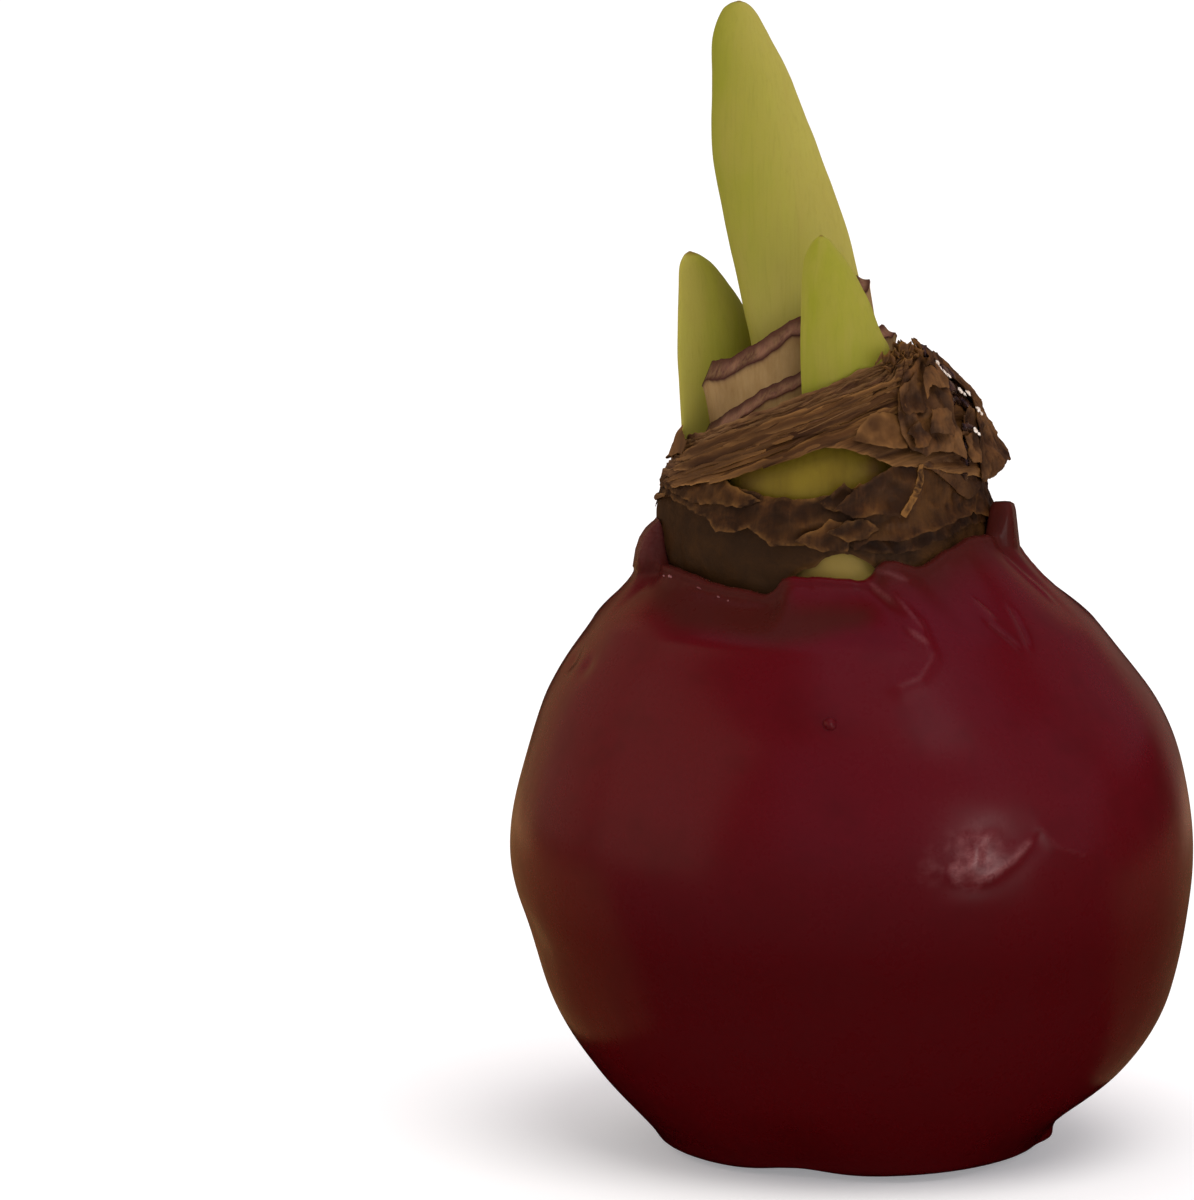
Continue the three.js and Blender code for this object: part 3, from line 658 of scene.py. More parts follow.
class AmaryllisTunics(bpy.types.PropertyGroup):
    """Shape and colour of the papery skins."""

    brown: FloatVectorProperty(
        name="Brown", description="The main brown of the dry skins", subtype="COLOR",
        default=screen(70, 40, 15), min=0, max=1)
    torn: FloatVectorProperty(
        name="Torn edge", description="The paler brown where a skin is torn", subtype="COLOR",
        default=screen(118, 80, 36), min=0, max=1)
    wet: FloatVectorProperty(
        name="Wet", description="The skin that is soaked with wax", subtype="COLOR",
        default=screen(84, 54, 26), min=0, max=1)
    crumple: FloatProperty(
        name="Crumple", description="How far the dry skins crumple", default=0.00065,
        min=0, max=0.002, subtype="DISTANCE", unit="LENGTH")
    layers: IntProperty(
        name="Cut layers", description="Skins that show in the cut round the neck", default=9,
        min=3, max=14)


class AmaryllisShoots(bpy.types.PropertyGroup):
    """Colours of the green shoots."""

    green: FloatVectorProperty(
        name="Green", description="The shaded green of a shoot", subtype="COLOR",
        default=screen(134, 134, 34), min=0, max=1)
    # painted light: this yellow-green colours the lit side of a shoot, and its yellow foot
    yellow_and_lit: FloatVectorProperty(
        name="Yellow", description="The yellow-green of its other side", subtype="COLOR",
        default=screen(163, 153, 72), min=0, max=1)
    warm: FloatVectorProperty(
        name="Warm", description="Warm clouds in the green", subtype="COLOR",
        default=screen(154, 140, 66), min=0, max=1)
    deep: FloatVectorProperty(
        name="Veins", description="Fine veins along a shoot", subtype="COLOR",
        default=screen(116, 114, 38), min=0, max=1)


class AmaryllisStage(bpy.types.PropertyGroup):
    """Floor and light."""

    floor: FloatVectorProperty(
        name="Floor", description="Colour of the floor", subtype="COLOR",
        default=(0.85, 0.85, 0.84), min=0, max=1)
    light: FloatProperty(
        name="Light", description="Brightness of the lamps, as a multiple", default=1.0, min=0,
        max=4, subtype="FACTOR")


# ------------------------------------------------------------------ pieces


def coat_profile(shares, depth):
    """Points (radius, height) along the coat's outline, moved straight inwards by a depth."""
    knots = np.array(COAT_OUTLINE, float)
    padded = np.concatenate([knots[:1], knots, knots[-1:]])
    t = np.linspace(0, len(knots) - 1, 3000)
    i = np.minimum(t.astype(int), len(knots) - 2)
    s = (t - i)[:, None]
    p0, p1, p2, p3 = (padded[i + n] for n in range(4))
    v0, v1 = (p2 - p0) / 2, (p3 - p1) / 2
    line = (2 * p1 - 2 * p2 + v0 + v1) * s**3 + (-3 * p1 + 3 * p2 - 2 * v0 - v1) * s**2 + v0 * s + p1
    length = np.concatenate([[0], np.cumsum(np.linalg.norm(np.diff(line, axis=0), axis=1))])
    at = np.asarray(shares) * length[-1]
    along = np.gradient(line, axis=0)
    along /= np.linalg.norm(along, axis=1)[:, None]
    moved = line + np.column_stack([-along[:, 1], along[:, 0]]) * depth
    return np.column_stack([np.interp(at, length, moved[:, n]) for n in range(2)])


# The radius at which a crease is laid flat, to measure how near a point is to it.
CREASE_REACH = 40


def crease(angle, height, line, above, below):
    """How near each point is to a crease, from 0 to 1, with its own fade above and below the line."""
    degrees = np.degrees(angle)
    share = np.zeros(np.broadcast(angle, height).shape)
    for (a0, z0), (a1, z1) in itertools.pairwise(line):
        run = np.array([math.radians(a1 - a0) * CREASE_REACH, z1 - z0])
        length = np.linalg.norm(run)
        run /= length
        side = np.radians(apart(degrees, a0)) * CREASE_REACH
        along = side * run[0] + (height - z0) * run[1]
        over = (height - z0) * run[0] - side * run[1]
        past = np.maximum(np.maximum(-along, along - length), 0)
        fade = np.where(over > 0, above, below)
        away = hump(past, 0.8 + 0.5 * fade) * np.exp(-((np.abs(over) / fade) ** 1.6))
        share = np.maximum(share, away)
    return share


def wax_relief(angle, height, reach):
    """How far the marks and creases of the wax stand out."""
    degrees = np.degrees(angle)
    out = np.zeros(np.broadcast(angle, height).shape)
    for middle, level, across, up, by in WAX_MARKS:
        side = np.radians(apart(degrees, middle)) * reach
        out += by * hump(side, across) * hump(height - level, up)
    for by, above, below, _, line in WAX_CREASES:
        out += by * crease(angle, height, line, above, below)
    return out


def crease_highlights(angle, level):
    """Where the crests of the creases are painted pale, as highlights."""
    share = np.zeros(level.shape)
    for _, _, _, pale, line in WAX_CREASES:
        share = np.maximum(share, crease(angle, level, line, 0.55, 0.4) * pale)
    return share


def rim_lips(angle):
    """Height, outward reach, top slope and taper of the wax wedges at the neck."""
    degrees = np.degrees(angle)
    share = [np.exp(-((np.abs(apart(degrees, a)) / w) ** 6)) for a, w, *_ in WAX_LIPS]
    return [sum(s * lip[n] for s, lip in zip(share, WAX_LIPS)) for n in (2, 3, 4, 5)]


def wax_blister(grid, angle, at, level, wide, tall, deep):
    """Loops of a small dome on the coat's outer face, a grid (row, column, xyz)."""
    column = int(np.abs(apart(np.degrees(angle), at)).argmin())
    row = min(int(np.abs(grid[:, column, 2] - level).argmin()), len(grid) - 2)
    along = grid[row + 1, column] - grid[row - 1, column]
    side = grid[row, (column + 1) % len(angle)] - grid[row, column - 1]
    along, side = along / np.linalg.norm(along), side / np.linalg.norm(side)
    place = pebble(wide, tall, deep, 0.12, 1.0, int(at)) - (0, 0, 0.5 * deep)
    return grid[row, column] + place @ np.array([side, along, np.cross(side, along)])


# How finely the coat is meshed: round it, up its body and up its shoulder.
COAT_COLUMNS, BODY_ROWS, SHOULDER_ROWS = 352, 184, 34
# The columns stand closest together where the dent is, and by so much.
FINEST_AT, CROWDING = 290, 0.45
# The coat no longer leans more above this height.
LEAN_STOPS = 86
# Rings of the flat foot.
FOOT_RADII = (0.6, 5, 10, 15, 19)
# Loops over the rim, from the outside to the neck: radius, drop under the rim, and the shares of a
# lip's height and reach that the loop takes.
RIM_LOOPS = [
    (25.2, -0.8, 0.5, 1), (25.1, -0.45, 0.86, 0.99), (24.9, -0.2, 0.98, 0.95),
    (24.55, -0.04, 1, 0.82), (24.2, 0, 0.99, 0.6), (23.8, -0.05, 0.98, 0.42),
    (23.5, -0.25, 1.0, 0.22), (23.25, -0.6, 0.9, 0.08), (23.1, -1.2, 0.4, 0),
]
# Where the shoulder arrives under the rim, and where the inner face leaves it again.
RIM_OUTSIDE, RIM_INSIDE = 25.3, 23.3
# How far the shoulder carries on as the body points, and how it arrives at the rim: out, up.
SHOULDER_PULL, RIM_PULL = 11, (-3.0, 5.0)


def coat_loops(angle, rim, ragged):
    """Loops of the plain coat, each (radius, height) for every angle: outside, then inside."""
    lip, lean, slope, taper = rim_lips(angle)

    def spun(radius, height):
        return np.broadcast_arrays(radius, height, angle)[:2]

    def over_rim(radius, drop, stand, out):
        reach = lean * out * (1 - taper * stand)
        climb = lip * stand * (1 + slope * (0.55 - out))
        return spun(radius + reach, rim + ragged + drop + climb)

    foot = [spun(r, 0.0) for r in FOOT_RADII]
    body = [spun(r, z) for r, z in coat_profile(np.linspace(0, 1, BODY_ROWS), 0)]
    # the shoulder carries on where the body points, and swings up to the rim
    (r0, z0), (r1, z1) = coat_profile([0.985, 1], 0)
    leave = np.array([r1 - r0, z1 - z0]) / math.hypot(r1 - r0, z1 - z0) * SHOULDER_PULL
    shoulder = []
    for t in np.linspace(0, 1, SHOULDER_ROWS)[1:]:
        h1, h2 = 2 * t**3 - 3 * t**2 + 1, t**3 - 2 * t**2 + t
        h3, h4 = 3 * t**2 - 2 * t**3, t**3 - t**2
        level = h1 * z1 + h2 * leave[1] + h3 * (rim - 1.1) + h4 * RIM_PULL[1]
        level = level + ragged * ease(t, 0.72, 1)
        reach = h1 * r1 + h2 * leave[0] + h3 * RIM_OUTSIDE + h4 * RIM_PULL[0] + lean * t**1.8
        shoulder.append(spun(reach, level))
    edge = [over_rim(*loop) for loop in RIM_LOOPS]
    profile = coat_profile(np.linspace(1, 0, 12), WAX_THICKNESS)
    inner = [
        spun(RIM_INSIDE + (profile[0][0] - RIM_INSIDE) * t,
             (rim + ragged - 1.9) * (1 - t) + profile[0][1] * t) for t in (0.15, 0.5)]
    inner += [spun(r, max(z, WAX_THICKNESS)) for r, z in profile]
    inner += [spun(r, WAX_THICKNESS) for r in (12, 0.6)]
    return np.array(foot + body + shoulder + edge), np.array(inner)


def coat_points(angle, radius, height, level):
    """Points of the coat, which leans with the bulb by the level of each loop."""
    lean_x = smooth_table(LEAN, np.minimum(level, LEAN_STOPS))
    return np.stack([lean_x + radius * np.cos(angle), radius * np.sin(angle), height], -1)


def shaped_coat(angle, radius, height, rim, ripple):
    """The coat's outer face with its ripples, marks and creases, its rough lips and arched foot."""
    along_r, along_z = np.gradient(radius, axis=0), np.gradient(height, axis=0)
    size = np.hypot(along_r, along_z) + 1e-9
    out_r, out_z = along_z / size, -along_r / size * ease(height, 2, 10)
    where = np.stack([radius * np.cos(angle), radius * np.sin(angle), height], -1)
    relief = wax_relief(angle, height, radius)
    relief = relief + ripple * (clouds(where, 24, 41, 2) + 0.12 * clouds(where, 9, 43, 2))
    calm = ease(height, 0.0, 1.5) * (1 - 0.75 * ease(height - rim, -1.6, 0))
    relief = relief * calm
    # the foot arches off the ground at one side
    arch = 0.9 * hump(apart(np.degrees(angle), 253), 14) * ease(radius, 17, 24) * ease(height, 9, 0)
    lip = rim_lips(angle)[0]
    flaw = lip * 0.05 * clouds(where * (1, 1, 0.5), 1.3, 51, 2) * ease(height - rim, -3, 0)
    shaped = np.maximum(height + relief * out_z + arch, 0)
    return coat_points(angle, radius + (relief + flaw) * out_r, shaped, height)


def wax_thinness(angle, loops, rim):
    """Where the coat is so thin that the dark skin shows: by its rim, and in a veil at the left."""
    level, degrees = loops[..., 2], np.degrees(angle)
    near_rim = hump(np.minimum(level - rim - 0.5, 0), 4.0) * (level > 60)
    # over the pale patch of flesh the rim is a clear red
    clear = ease(apart(degrees, 255), 0, 5) * ease(apart(degrees, 287), 0, -5)
    near_rim = near_rim * (1 - 0.9 * clear)
    veil = ease(apart(degrees, 196), 0, 14) * ease(apart(degrees, 288), 0, -10)
    low = 76.4 + 3.6 * (apart(degrees, 247) / 40) ** 2
    low = low + 0.9 * clouds(ring_place(angle, 0.0), 5, 57, 2)
    gap = 1 - 0.8 * clear * ease(level - rim, -5, -2)
    return np.maximum(near_rim, veil * gap * ease(level - low, -1.3, 1.5) * 0.92)


def wax_painted_highlights(angle, loops, rim):
    """Where the coat is painted pale: a painted highlight by the dent, a paler top on the left lip, and
    painted highlights on the crests of creases.
    """
    level, degrees = loops[..., 2], np.degrees(angle)
    patchy = 0.35 + 0.9 * clouds(loops, 1.9, 59, 3)
    painted_highlight = hump(np.radians(apart(degrees, 289.2)) * 46, 4.8)
    painted_highlight = painted_highlight * hump(level - 48.6 - 0.15 * apart(degrees, 289), 3.3) * np.clip(patchy, 0, 1.1)
    painted_highlight = painted_highlight + 0.3 * hump(apart(degrees, 190), 10) * ease(level - rim, -0.3, 1)
    return painted_highlight + 1.2 * crease_highlights(angle, level)


def build_wax(wax):
    """The coat: a closed shell from its foot over the rim and down its inner face, and blisters."""
    turn = np.linspace(0, 2 * np.pi, COAT_COLUMNS, endpoint=False)
    angle = turn - CROWDING * np.sin(turn) + math.radians(FINEST_AT)
    rim = around(WAX_RIM, angle)
    place = ring_place(angle, 0.0, 24)
    ragged = 0.3 * clouds(place, 3.2, 5) + 0.1 * clouds(place, 0.8, 6)
    outside, inner = coat_loops(angle, rim, ragged)
    rim = rim + ragged
    outside = shaped_coat(angle, outside[:, 0], outside[:, 1], rim, wax.ripple / MM)
    loops = np.concatenate([outside, coat_points(angle, inner[:, 0], inner[:, 1], inner[:, 1])])
    # painted highlights: a pale patch by the dent and pale crease crests, carried in the edge attribute
    painted_highlight = wax_painted_highlights(angle, loops, rim)
    painted_highlight[len(outside):] = 0
    skins = Skins()
    skins.add(loops, loft(loops), grain=loops.reshape(-1, 3), edge=np.clip(painted_highlight, 0, 1),
              tone=wax_thinness(angle, loops, rim))
    # only the body and the shoulder carry blisters
    shell = outside[len(FOOT_RADII): -len(RIM_LOOPS)]
    for *blister, pale in WAX_BLISTERS:
        dome = wax_blister(shell, angle, *blister)
        skins.add(dome, loft(dome), grain=dome.reshape(-1, 3), edge=pale)
    skins.piece("wax_skin", wax_finish(wax), "wax", "wax_coat", sharp=80)


# How finely the flesh is meshed: round it, up its neck and across its seat.
FLESH_COLUMNS, NECK_ROWS, SEAT_ROWS = 256, 64, 40
# Half waves of the rings that the leaf bases leave across the seat, and the middle of them.
SEAT_WAVES = 17
SEAT_MIDDLE = (-5.5, 0.0, 0.0)


def build_flesh():
    """The fleshy bulb: its body inside the wax, its neck with the window, and the ringed seat."""
    angle = np.linspace(0, 2 * np.pi, FLESH_COLUMNS, endpoint=False)
    degrees = np.degrees(angle)

    def body_loop(radius, level):
        x = smooth_table(LEAN, level) + radius * np.cos(angle)
        return np.stack(np.broadcast_arrays(x, radius * np.sin(angle), level), -1)

    body = coat_profile(np.linspace(0, 1, 12), FLESH_DEPTH)
    loops = [body_loop(r, max(z, FLESH_DEPTH))
             for r, z in [(0.6, FLESH_DEPTH), (12, FLESH_DEPTH), *body]]
    neck_low = around(WAX_RIM, angle) - 2.6
    last_radius, last_level = body[-1]
    for share in (0.3, 0.65):
        loops.append(body_loop(last_radius + (NECK[0][1] - 0.2 - last_radius) * share,
                               last_level + (neck_low - last_level) * share))
    top = cut_height(angle, 0, SEAT_DROP)
    for share in np.linspace(0, 1, NECK_ROWS):
        z = neck_low + (top - neck_low) * share
        place = ring_place(angle, z)
        out = 0.12 * clouds(place * (1, 1, 0.3), 5, 61, 2)
        out = out + 0.04 * clouds(place * (1, 1, 0.06), 0.9, 63, 2)
        # it swells in the window, and in the pale patch at the rim
        out = out + 1.35 * hump(apart(degrees, 262), 40) * hump(z - 97.3, 4.5)
        out = out + 0.5 * hump(apart(degrees, 272), 12) * hump(z - 85, 2.5)
        loops.append(neck_point(angle, z, out))
    edge = loops[-1]
    for share in np.linspace(0.02, 0.97, SEAT_ROWS):
        ring = edge + (np.array(SEAT_MIDDLE) - edge) * share * (1, 1, 0)
        dip = 0.5 * np.sin(share * SEAT_WAVES * math.pi) - 0.5
        ring[:, 2] = cut_plane(ring[:, 0], ring[:, 1], SEAT_DROP) + 0.55 * dip
        loops.append(ring)
    loops = np.array(loops)
    height = loops[..., 2]
    cream = (1 - ease(height, 87, 89)) * (height > 80)
    cream[-SEAT_ROWS:] = 1
    # brown smudges at the ends of the window, and painted shade in brown at the left of the pale patch
    stain = hump(apart(degrees, 238), 7) * (height > 90) * 0.6
    stain = stain + hump(apart(degrees, 260), 7) * (height < 88) * 0.7
    stain = np.clip(stain + hump(apart(degrees, 288), 4) * (height > 90) * 0.8, 0, 1)
    skins = Skins()
    skins.add(loops, loft(loops), grain=loops.reshape(-1, 3), edge=stain, tone=cream)
    skins.piece("flesh_skin", flesh_finish(), "flesh", "bulb_body")


def under_cut(angle, height):
    """Points for noise that runs along the slanting cut."""
    return ring_place(angle, height - cut_height(angle, 2.5, 0))


def tunic_ring(skins, columns, rows, bottom, top, layer, thick, relief, seed, tone, flare=0.0,
               tear=0.4, grain=ring_place):
    """Adds a papery ring between two edges, with its own relief and a torn, slightly lifted hem."""
    angle = np.linspace(0, 2 * np.pi, columns, endpoint=False)[:, None]
    share = np.linspace(0, 1, rows)[None, :]
    hem = clouds(ring_place(angle, 0.0), 2.2, seed) + 0.4 * clouds(ring_place(angle, 0.0), 0.7, seed + 1)
    low = bottom(angle) + tear * hem
    high = top(angle)
    height = low + (high - low) * share
    out = layer + relief(angle, height) + flare * np.exp(-(height - low) / 1.2)
    half = thick / 2 * (0.4 + 0.6 * ease(height - low, 0, 0.8))
    outer, inner = neck_point(angle, height, out + half), neck_point(angle, height, out - half)
    edge = np.exp(-(height - low) / 0.45)
    skins.sheet(outer, inner, True, grain=grain(angle, height), edge=edge,
                tone=tone(angle, height) + 0 * height)


def build_wet_tunic(tunics):
    """The dark skin at the foot of the neck, soaked with wax."""

    def relief(angle, height):
        place = ring_place(angle, height)
        # it stands out to meet both lips of the wax
        out = 0.8 * hump(apart(np.degrees(angle), 186), 18)
        out = out + 0.6 * hump(apart(np.degrees(angle), 350), 9) * hump(height - 88, 3)
        return out + 0.3 * clouds(place, 6, 71, 3) + 0.04 * clouds(place * (1, 1, 0.2), 1.2, 73, 2)

    def tone(angle, height):
        # darkest at the left of the front
        return np.clip(ease(np.abs(apart(np.degrees(angle), 215)), 75, 20) + 0.15, 0, 1) + 0 * height

    skins = Skins()
    tunic_ring(skins, columns=400, rows=44, bottom=lambda a: around(WET_BOTTOM, a),
               top=lambda a: around(WET_TOP, a) + 1.2, layer=0.75, thick=0.7, relief=relief,
               seed=75, tone=tone, tear=0.25)
    finish = papery_finish("wax_soaked_skin", screen(50, 31, 13), tuple(tunics.wet), screen(74, 46, 21),
                           screen(96, 66, 34), 0.55, gloss=0.2, vein=0.03)
    skins.piece("wet_tunic_skin", finish, "wet_tunic", "wet_tunic")


# Torn skins at the front: outline (angle, height, out), seed, rest, tone, how pale the torn edge.
FRONT_FLAPS = [
    # the low flap at the left, under the window
    ([(164, 94.0, 1.6), (175, 94.2, 1.6), (184, 94.6, 1.7), (195, 95.0, 1.7), (207, 95.8, 1.9),
      (221, 96.4, 2.0), (231, 96.4, 2.0), (241, 95.2, 1.9), (247, 94.5, 1.7), (258, 94.4, 1.6),
      (267, 94.7, 1.7), (274, 95.3, 1.9),
      (279, 94.6, 2.0), (280, 91.8, 1.9), (279, 88.7, 1.9), (268, 87.7, 2.2), (261, 88.3, 2.4),
      (253, 87.8, 2.6), (249, 89.0, 2.3), (244, 90.3, 2.5), (238, 89.6, 2.7), (232, 89.4, 2.5),
      (227, 91.1, 2.4), (220, 91.9, 2.6), (209, 92.7, 2.3), (196, 93.0, 2.1), (186, 92.6, 1.9),
      (176, 92.2, 1.8), (165, 91.8, 1.7)], 101, 1.75, 0.85, 0.6),
    # the tan fold above it
    ([(172, 94.9, 2.0), (180, 95.3, 2.1), (188, 95.5, 2.3), (196, 95.3, 2.4), (207, 95.9, 2.5),
      (221, 96.6, 2.5), (232, 96.4, 2.4), (240, 95.2, 2.2), (248, 94.0, 2.1), (243, 93.2, 2.3),
      (232, 93.0, 2.6), (221, 92.9, 2.7), (207, 93.6, 2.7), (198, 94.0, 2.5), (188, 93.6, 2.3),
      (178, 93.4, 2.1)], 103, 2.15, 0.5, 0.7),
    # scraps below the window
    ([(260.5, 88.9, 3.4), (268, 90.7, 2.8), (272, 91.9, 2.6), (277, 91.2, 2.6), (279, 89.4, 2.6),
      (278, 87.4, 2.7), (270, 87.5, 3.0)], 107, 2.5, 0.3, 0.75),
    ([(271, 90.1, 3.6), (277, 91.5, 3.2), (284, 91.9, 3.2), (288, 90.6, 3.0), (284, 89.0, 3.1),
      (277, 88.8, 3.4)], 109, 3.0, 0.35, 0.6),
    ([(268, 94.0, 2.5), (272, 95.4, 2.6), (275, 96.9, 2.9), (278, 96.0, 2.5), (281, 96.6, 2.9),
      (285, 95.4, 2.5), (286, 93.6, 2.5), (279, 92.7, 2.5), (273, 92.9, 2.6)], 113, 2.3, 0.3, 0.7),
    # the dark flap at the right of the window
    ([(273, 93.2, 3.6), (277, 95.0, 3.2), (280, 96.1, 3.2), (286, 97.6, 3.0), (291, 98.6, 2.9),
      (297, 99.6, 2.8), (303, 99.2, 2.9), (303, 97.0, 3.3), (300, 94.6, 3.6), (295, 91.8, 3.9),
      (290, 92.0, 3.7), (285, 92.5, 3.8), (279, 92.2, 3.8)], 127, 2.75, 0.5, 0.3),
    # its bright torn edge
    ([(304, 98.9, 3.5), (303.4, 96.8, 3.7), (300.6, 94.3, 3.9), (296.4, 91.8, 4.1), (295.0, 92.3, 3.9),
      (298.6, 94.9, 3.8), (301.0, 97.0, 3.6), (302.4, 98.9, 3.4)], 128, 3.6, 0.0, 2.5),
    # the broad flap at the right
    ([(296, 99.4, 2.4), (304, 99.9, 2.6), (312, 101.4, 2.7), (321, 101.4, 2.7), (329, 100.2, 2.8),
      (333, 97.6, 2.9), (336, 94.4, 2.7), (331, 91.4, 3.0), (321, 91.0, 3.2), (307, 89.7, 3.3),
      (294, 88.8, 3.3), (285, 88.8, 3.1), (280, 87.6, 2.9), (279, 90.0, 2.5), (282, 92.8, 2.3),
      (290, 94.6, 2.2)], 131, 2.3, -0.1, 0.25),
    # the next one, round the right side
    ([(328, 96.6, 2.0), (340, 98.0, 2.1), (352, 98.2, 2.1), (366, 97.4, 2.2), (372, 94.0, 2.4),
      (366, 91.2, 2.6), (354, 90.0, 2.5), (342, 90.4, 2.6), (333, 91.0, 2.6), (326, 92.4, 2.2)],
     137, 1.85, 0.35, 0.3),
    # the dark strip under the broad flap
    ([(276, 89.2, 1.5), (290, 90.4, 1.5), (306, 91.0, 1.5), (324, 92.0, 1.5), (340, 92.4, 1.6),
      (356, 92.0, 1.6), (360, 89.6, 1.9), (346, 89.4, 1.9), (330, 89.6, 1.9), (319, 88.6, 2.0),
      (308, 87.6, 2.1), (301, 86.9, 2.1), (291, 86.9, 2.0), (281, 87.6, 1.9)], 139, 1.35, 0.55, 0.3),
]


def back_flaps():
    """Torn skins for the sides and the back, from seeded draws: rows as in FRONT_FLAPS."""
    draw = np.random.default_rng(77)
    flaps = []
    for level, high, out, starts in (
            (89.2, 8.0, 1.5, range(6, 150, 27)), (93.4, 7.0, 2.1, range(20, 140, 29))):
        for start in starts:
            wide = draw.uniform(36, 48)
            base, top = level + draw.uniform(-1, 1), level + high + draw.uniform(-1, 1)
            lower = [(start + wide * s, base + draw.uniform(-1.0, 1.3) + 3 * (s - 0.5) ** 2 * 2,
                      out + draw.uniform(0.2, 1.1)) for s in np.linspace(0.04, 0.96, 8)]
            upper = []
            for s in np.linspace(1, 0, 6):
                most = float(cut_height(np.radians(start + wide * s), 2.5, 3.0))
                upper.append((start + wide * s, min(top + draw.uniform(-0.5, 0.5), most), out + 0.1))
            flaps.append((lower + upper, int(draw.integers(1000, 9000)), out, draw.uniform(0.1, 0.6)))
    return flaps


def build_torn_tunic(tunics):
    """The torn brown skins over the wet one. They leave the window free."""
    crumple = tunics.crumple / MM
    skins = Skins()
    for outline, seed, rest, tone, light in FRONT_FLAPS:
        torn_flap(skins, outline, seed, rest, crumple=crumple, tone=tone, light=light)
    for outline, seed, rest, tone in back_flaps():
        torn_flap(skins, outline, seed, rest, crumple=crumple, tone=tone, step=0.55)
    finish = papery_finish("torn_brown_skin", screen(40, 22, 8), tuple(tunics.brown), screen(86, 54, 20),
                           tuple(tunics.torn), 0.62, gloss=0.24, vein=0.04, specular=0.16)
    skins.piece("torn_tunic_flaps", finish, "dry_tunic", "torn_tunic")


def ribbon(skins, start, span, level, wide, out, seed, crumple):
    """Adds a flattened strand that runs along the cut, so far below it, and thins to both ends."""
    columns = max(24, int(span * 1.4))
    angle = np.radians(start + span * np.linspace(0, 1, columns))[:, None]
    across = np.linspace(-1, 1, 7)[None, :]
    place = ring_place(angle, seed * 3.0)
    taper = np.sin(np.pi * np.linspace(0.03, 0.97, columns))[:, None] ** 0.45
    drift = 0.5 * clouds(place, 7, seed, 2) + 0.14 * clouds(place, 1.6, seed + 1, 2)
    half = wide / 2 * taper * (1 + 0.3 * clouds(place, 2.4, seed + 2, 2))
    height = cut_height(angle, 3.0, level) + drift + half * across
    grain = ring_place(angle, half * across + seed)
    lift = out + 0.25 * clouds(place, 5, seed + 3, 2) + 0.22 * taper * (1 - across**2)
    lift = lift - 0.8 * hump(apart(np.degrees(angle), 180), 34)
    lift = lift + crumple * 0.3 * (ridges(grain * (0.2, 0.2, 1), 1.1, seed + 4, 2) - 0.5)
    thick = 0.05 + 0.14 * taper * (1 - across**2)
    edge = 0.75 * across**2 + 0.5 * (1 - taper)
    skins.sheet(neck_point(angle, height, lift + thick), neck_point(angle, height, lift - thick), False,
                grain=grain, edge=edge, tone=0.5 + 0.5 * clouds(place, 9, seed + 5, 2) + 0 * height)


# Torn pieces on the upper skin: outline (angle, height, out), seed, rest, share of the crumple,
# and more for torn_flap.
UPPER_FLAPS = [
    # a torn tip that stands up beside the left leaf
    ([(172, 98.4, 1.9), (178, 100.4, 1.7), (182, 101.8, 1.6), (187, 102.3, 1.6), (192, 101.6, 1.9),
      (198, 101.4, 2.2), (206, 100.9, 2.6), (205, 99.2, 2.7), (192, 98.2, 2.5), (180, 97.8, 2.2)],
     149, 2.0, 0.5, dict(tone=0.2, tear=0.25)),
    # the leathery patch above the window
    ([(278, 102.7, 3.9), (281, 104.4, 3.7), (285, 105.9, 3.5), (291, 106.2, 3.4), (297, 105.4, 3.4),
      (299, 103.6, 3.6), (297, 101.4, 4.0), (292, 101.2, 4.0), (287, 101.8, 4.2), (282, 102.2, 4.1)],
     151, 3.55, 1.2, dict(tone=0.6)),
]
# How many of the ribbons lie at the front, out of how many.
FRONT_RIBBONS, RIBBONS = 24, 40
# The hood starts here, and the ribbons end at it.
HOOD_START = 304


def add_ribbons(skins, crumple):
    """Adds the strands that lie along the cut, from seeded draws."""
    draw = np.random.default_rng(29)
    for number in range(RIBBONS):
        front = number < FRONT_RIBBONS
        start = draw.uniform(192, 262) if front else draw.uniform(20, 150)
        span = draw.uniform(30, 74)
        if front:
            span = min(span, HOOD_START - start)
        # over the window there is less room
        level = draw.uniform(2.0, 9.4 if start < 215 else 7.6)
        wide, out = draw.uniform(0.8, 1.9), draw.uniform(2.85, 3.3) - 0.04 * (level - 4)
        ribbon(skins, start, span, level, wide, out, 600 + 10 * number, crumple)


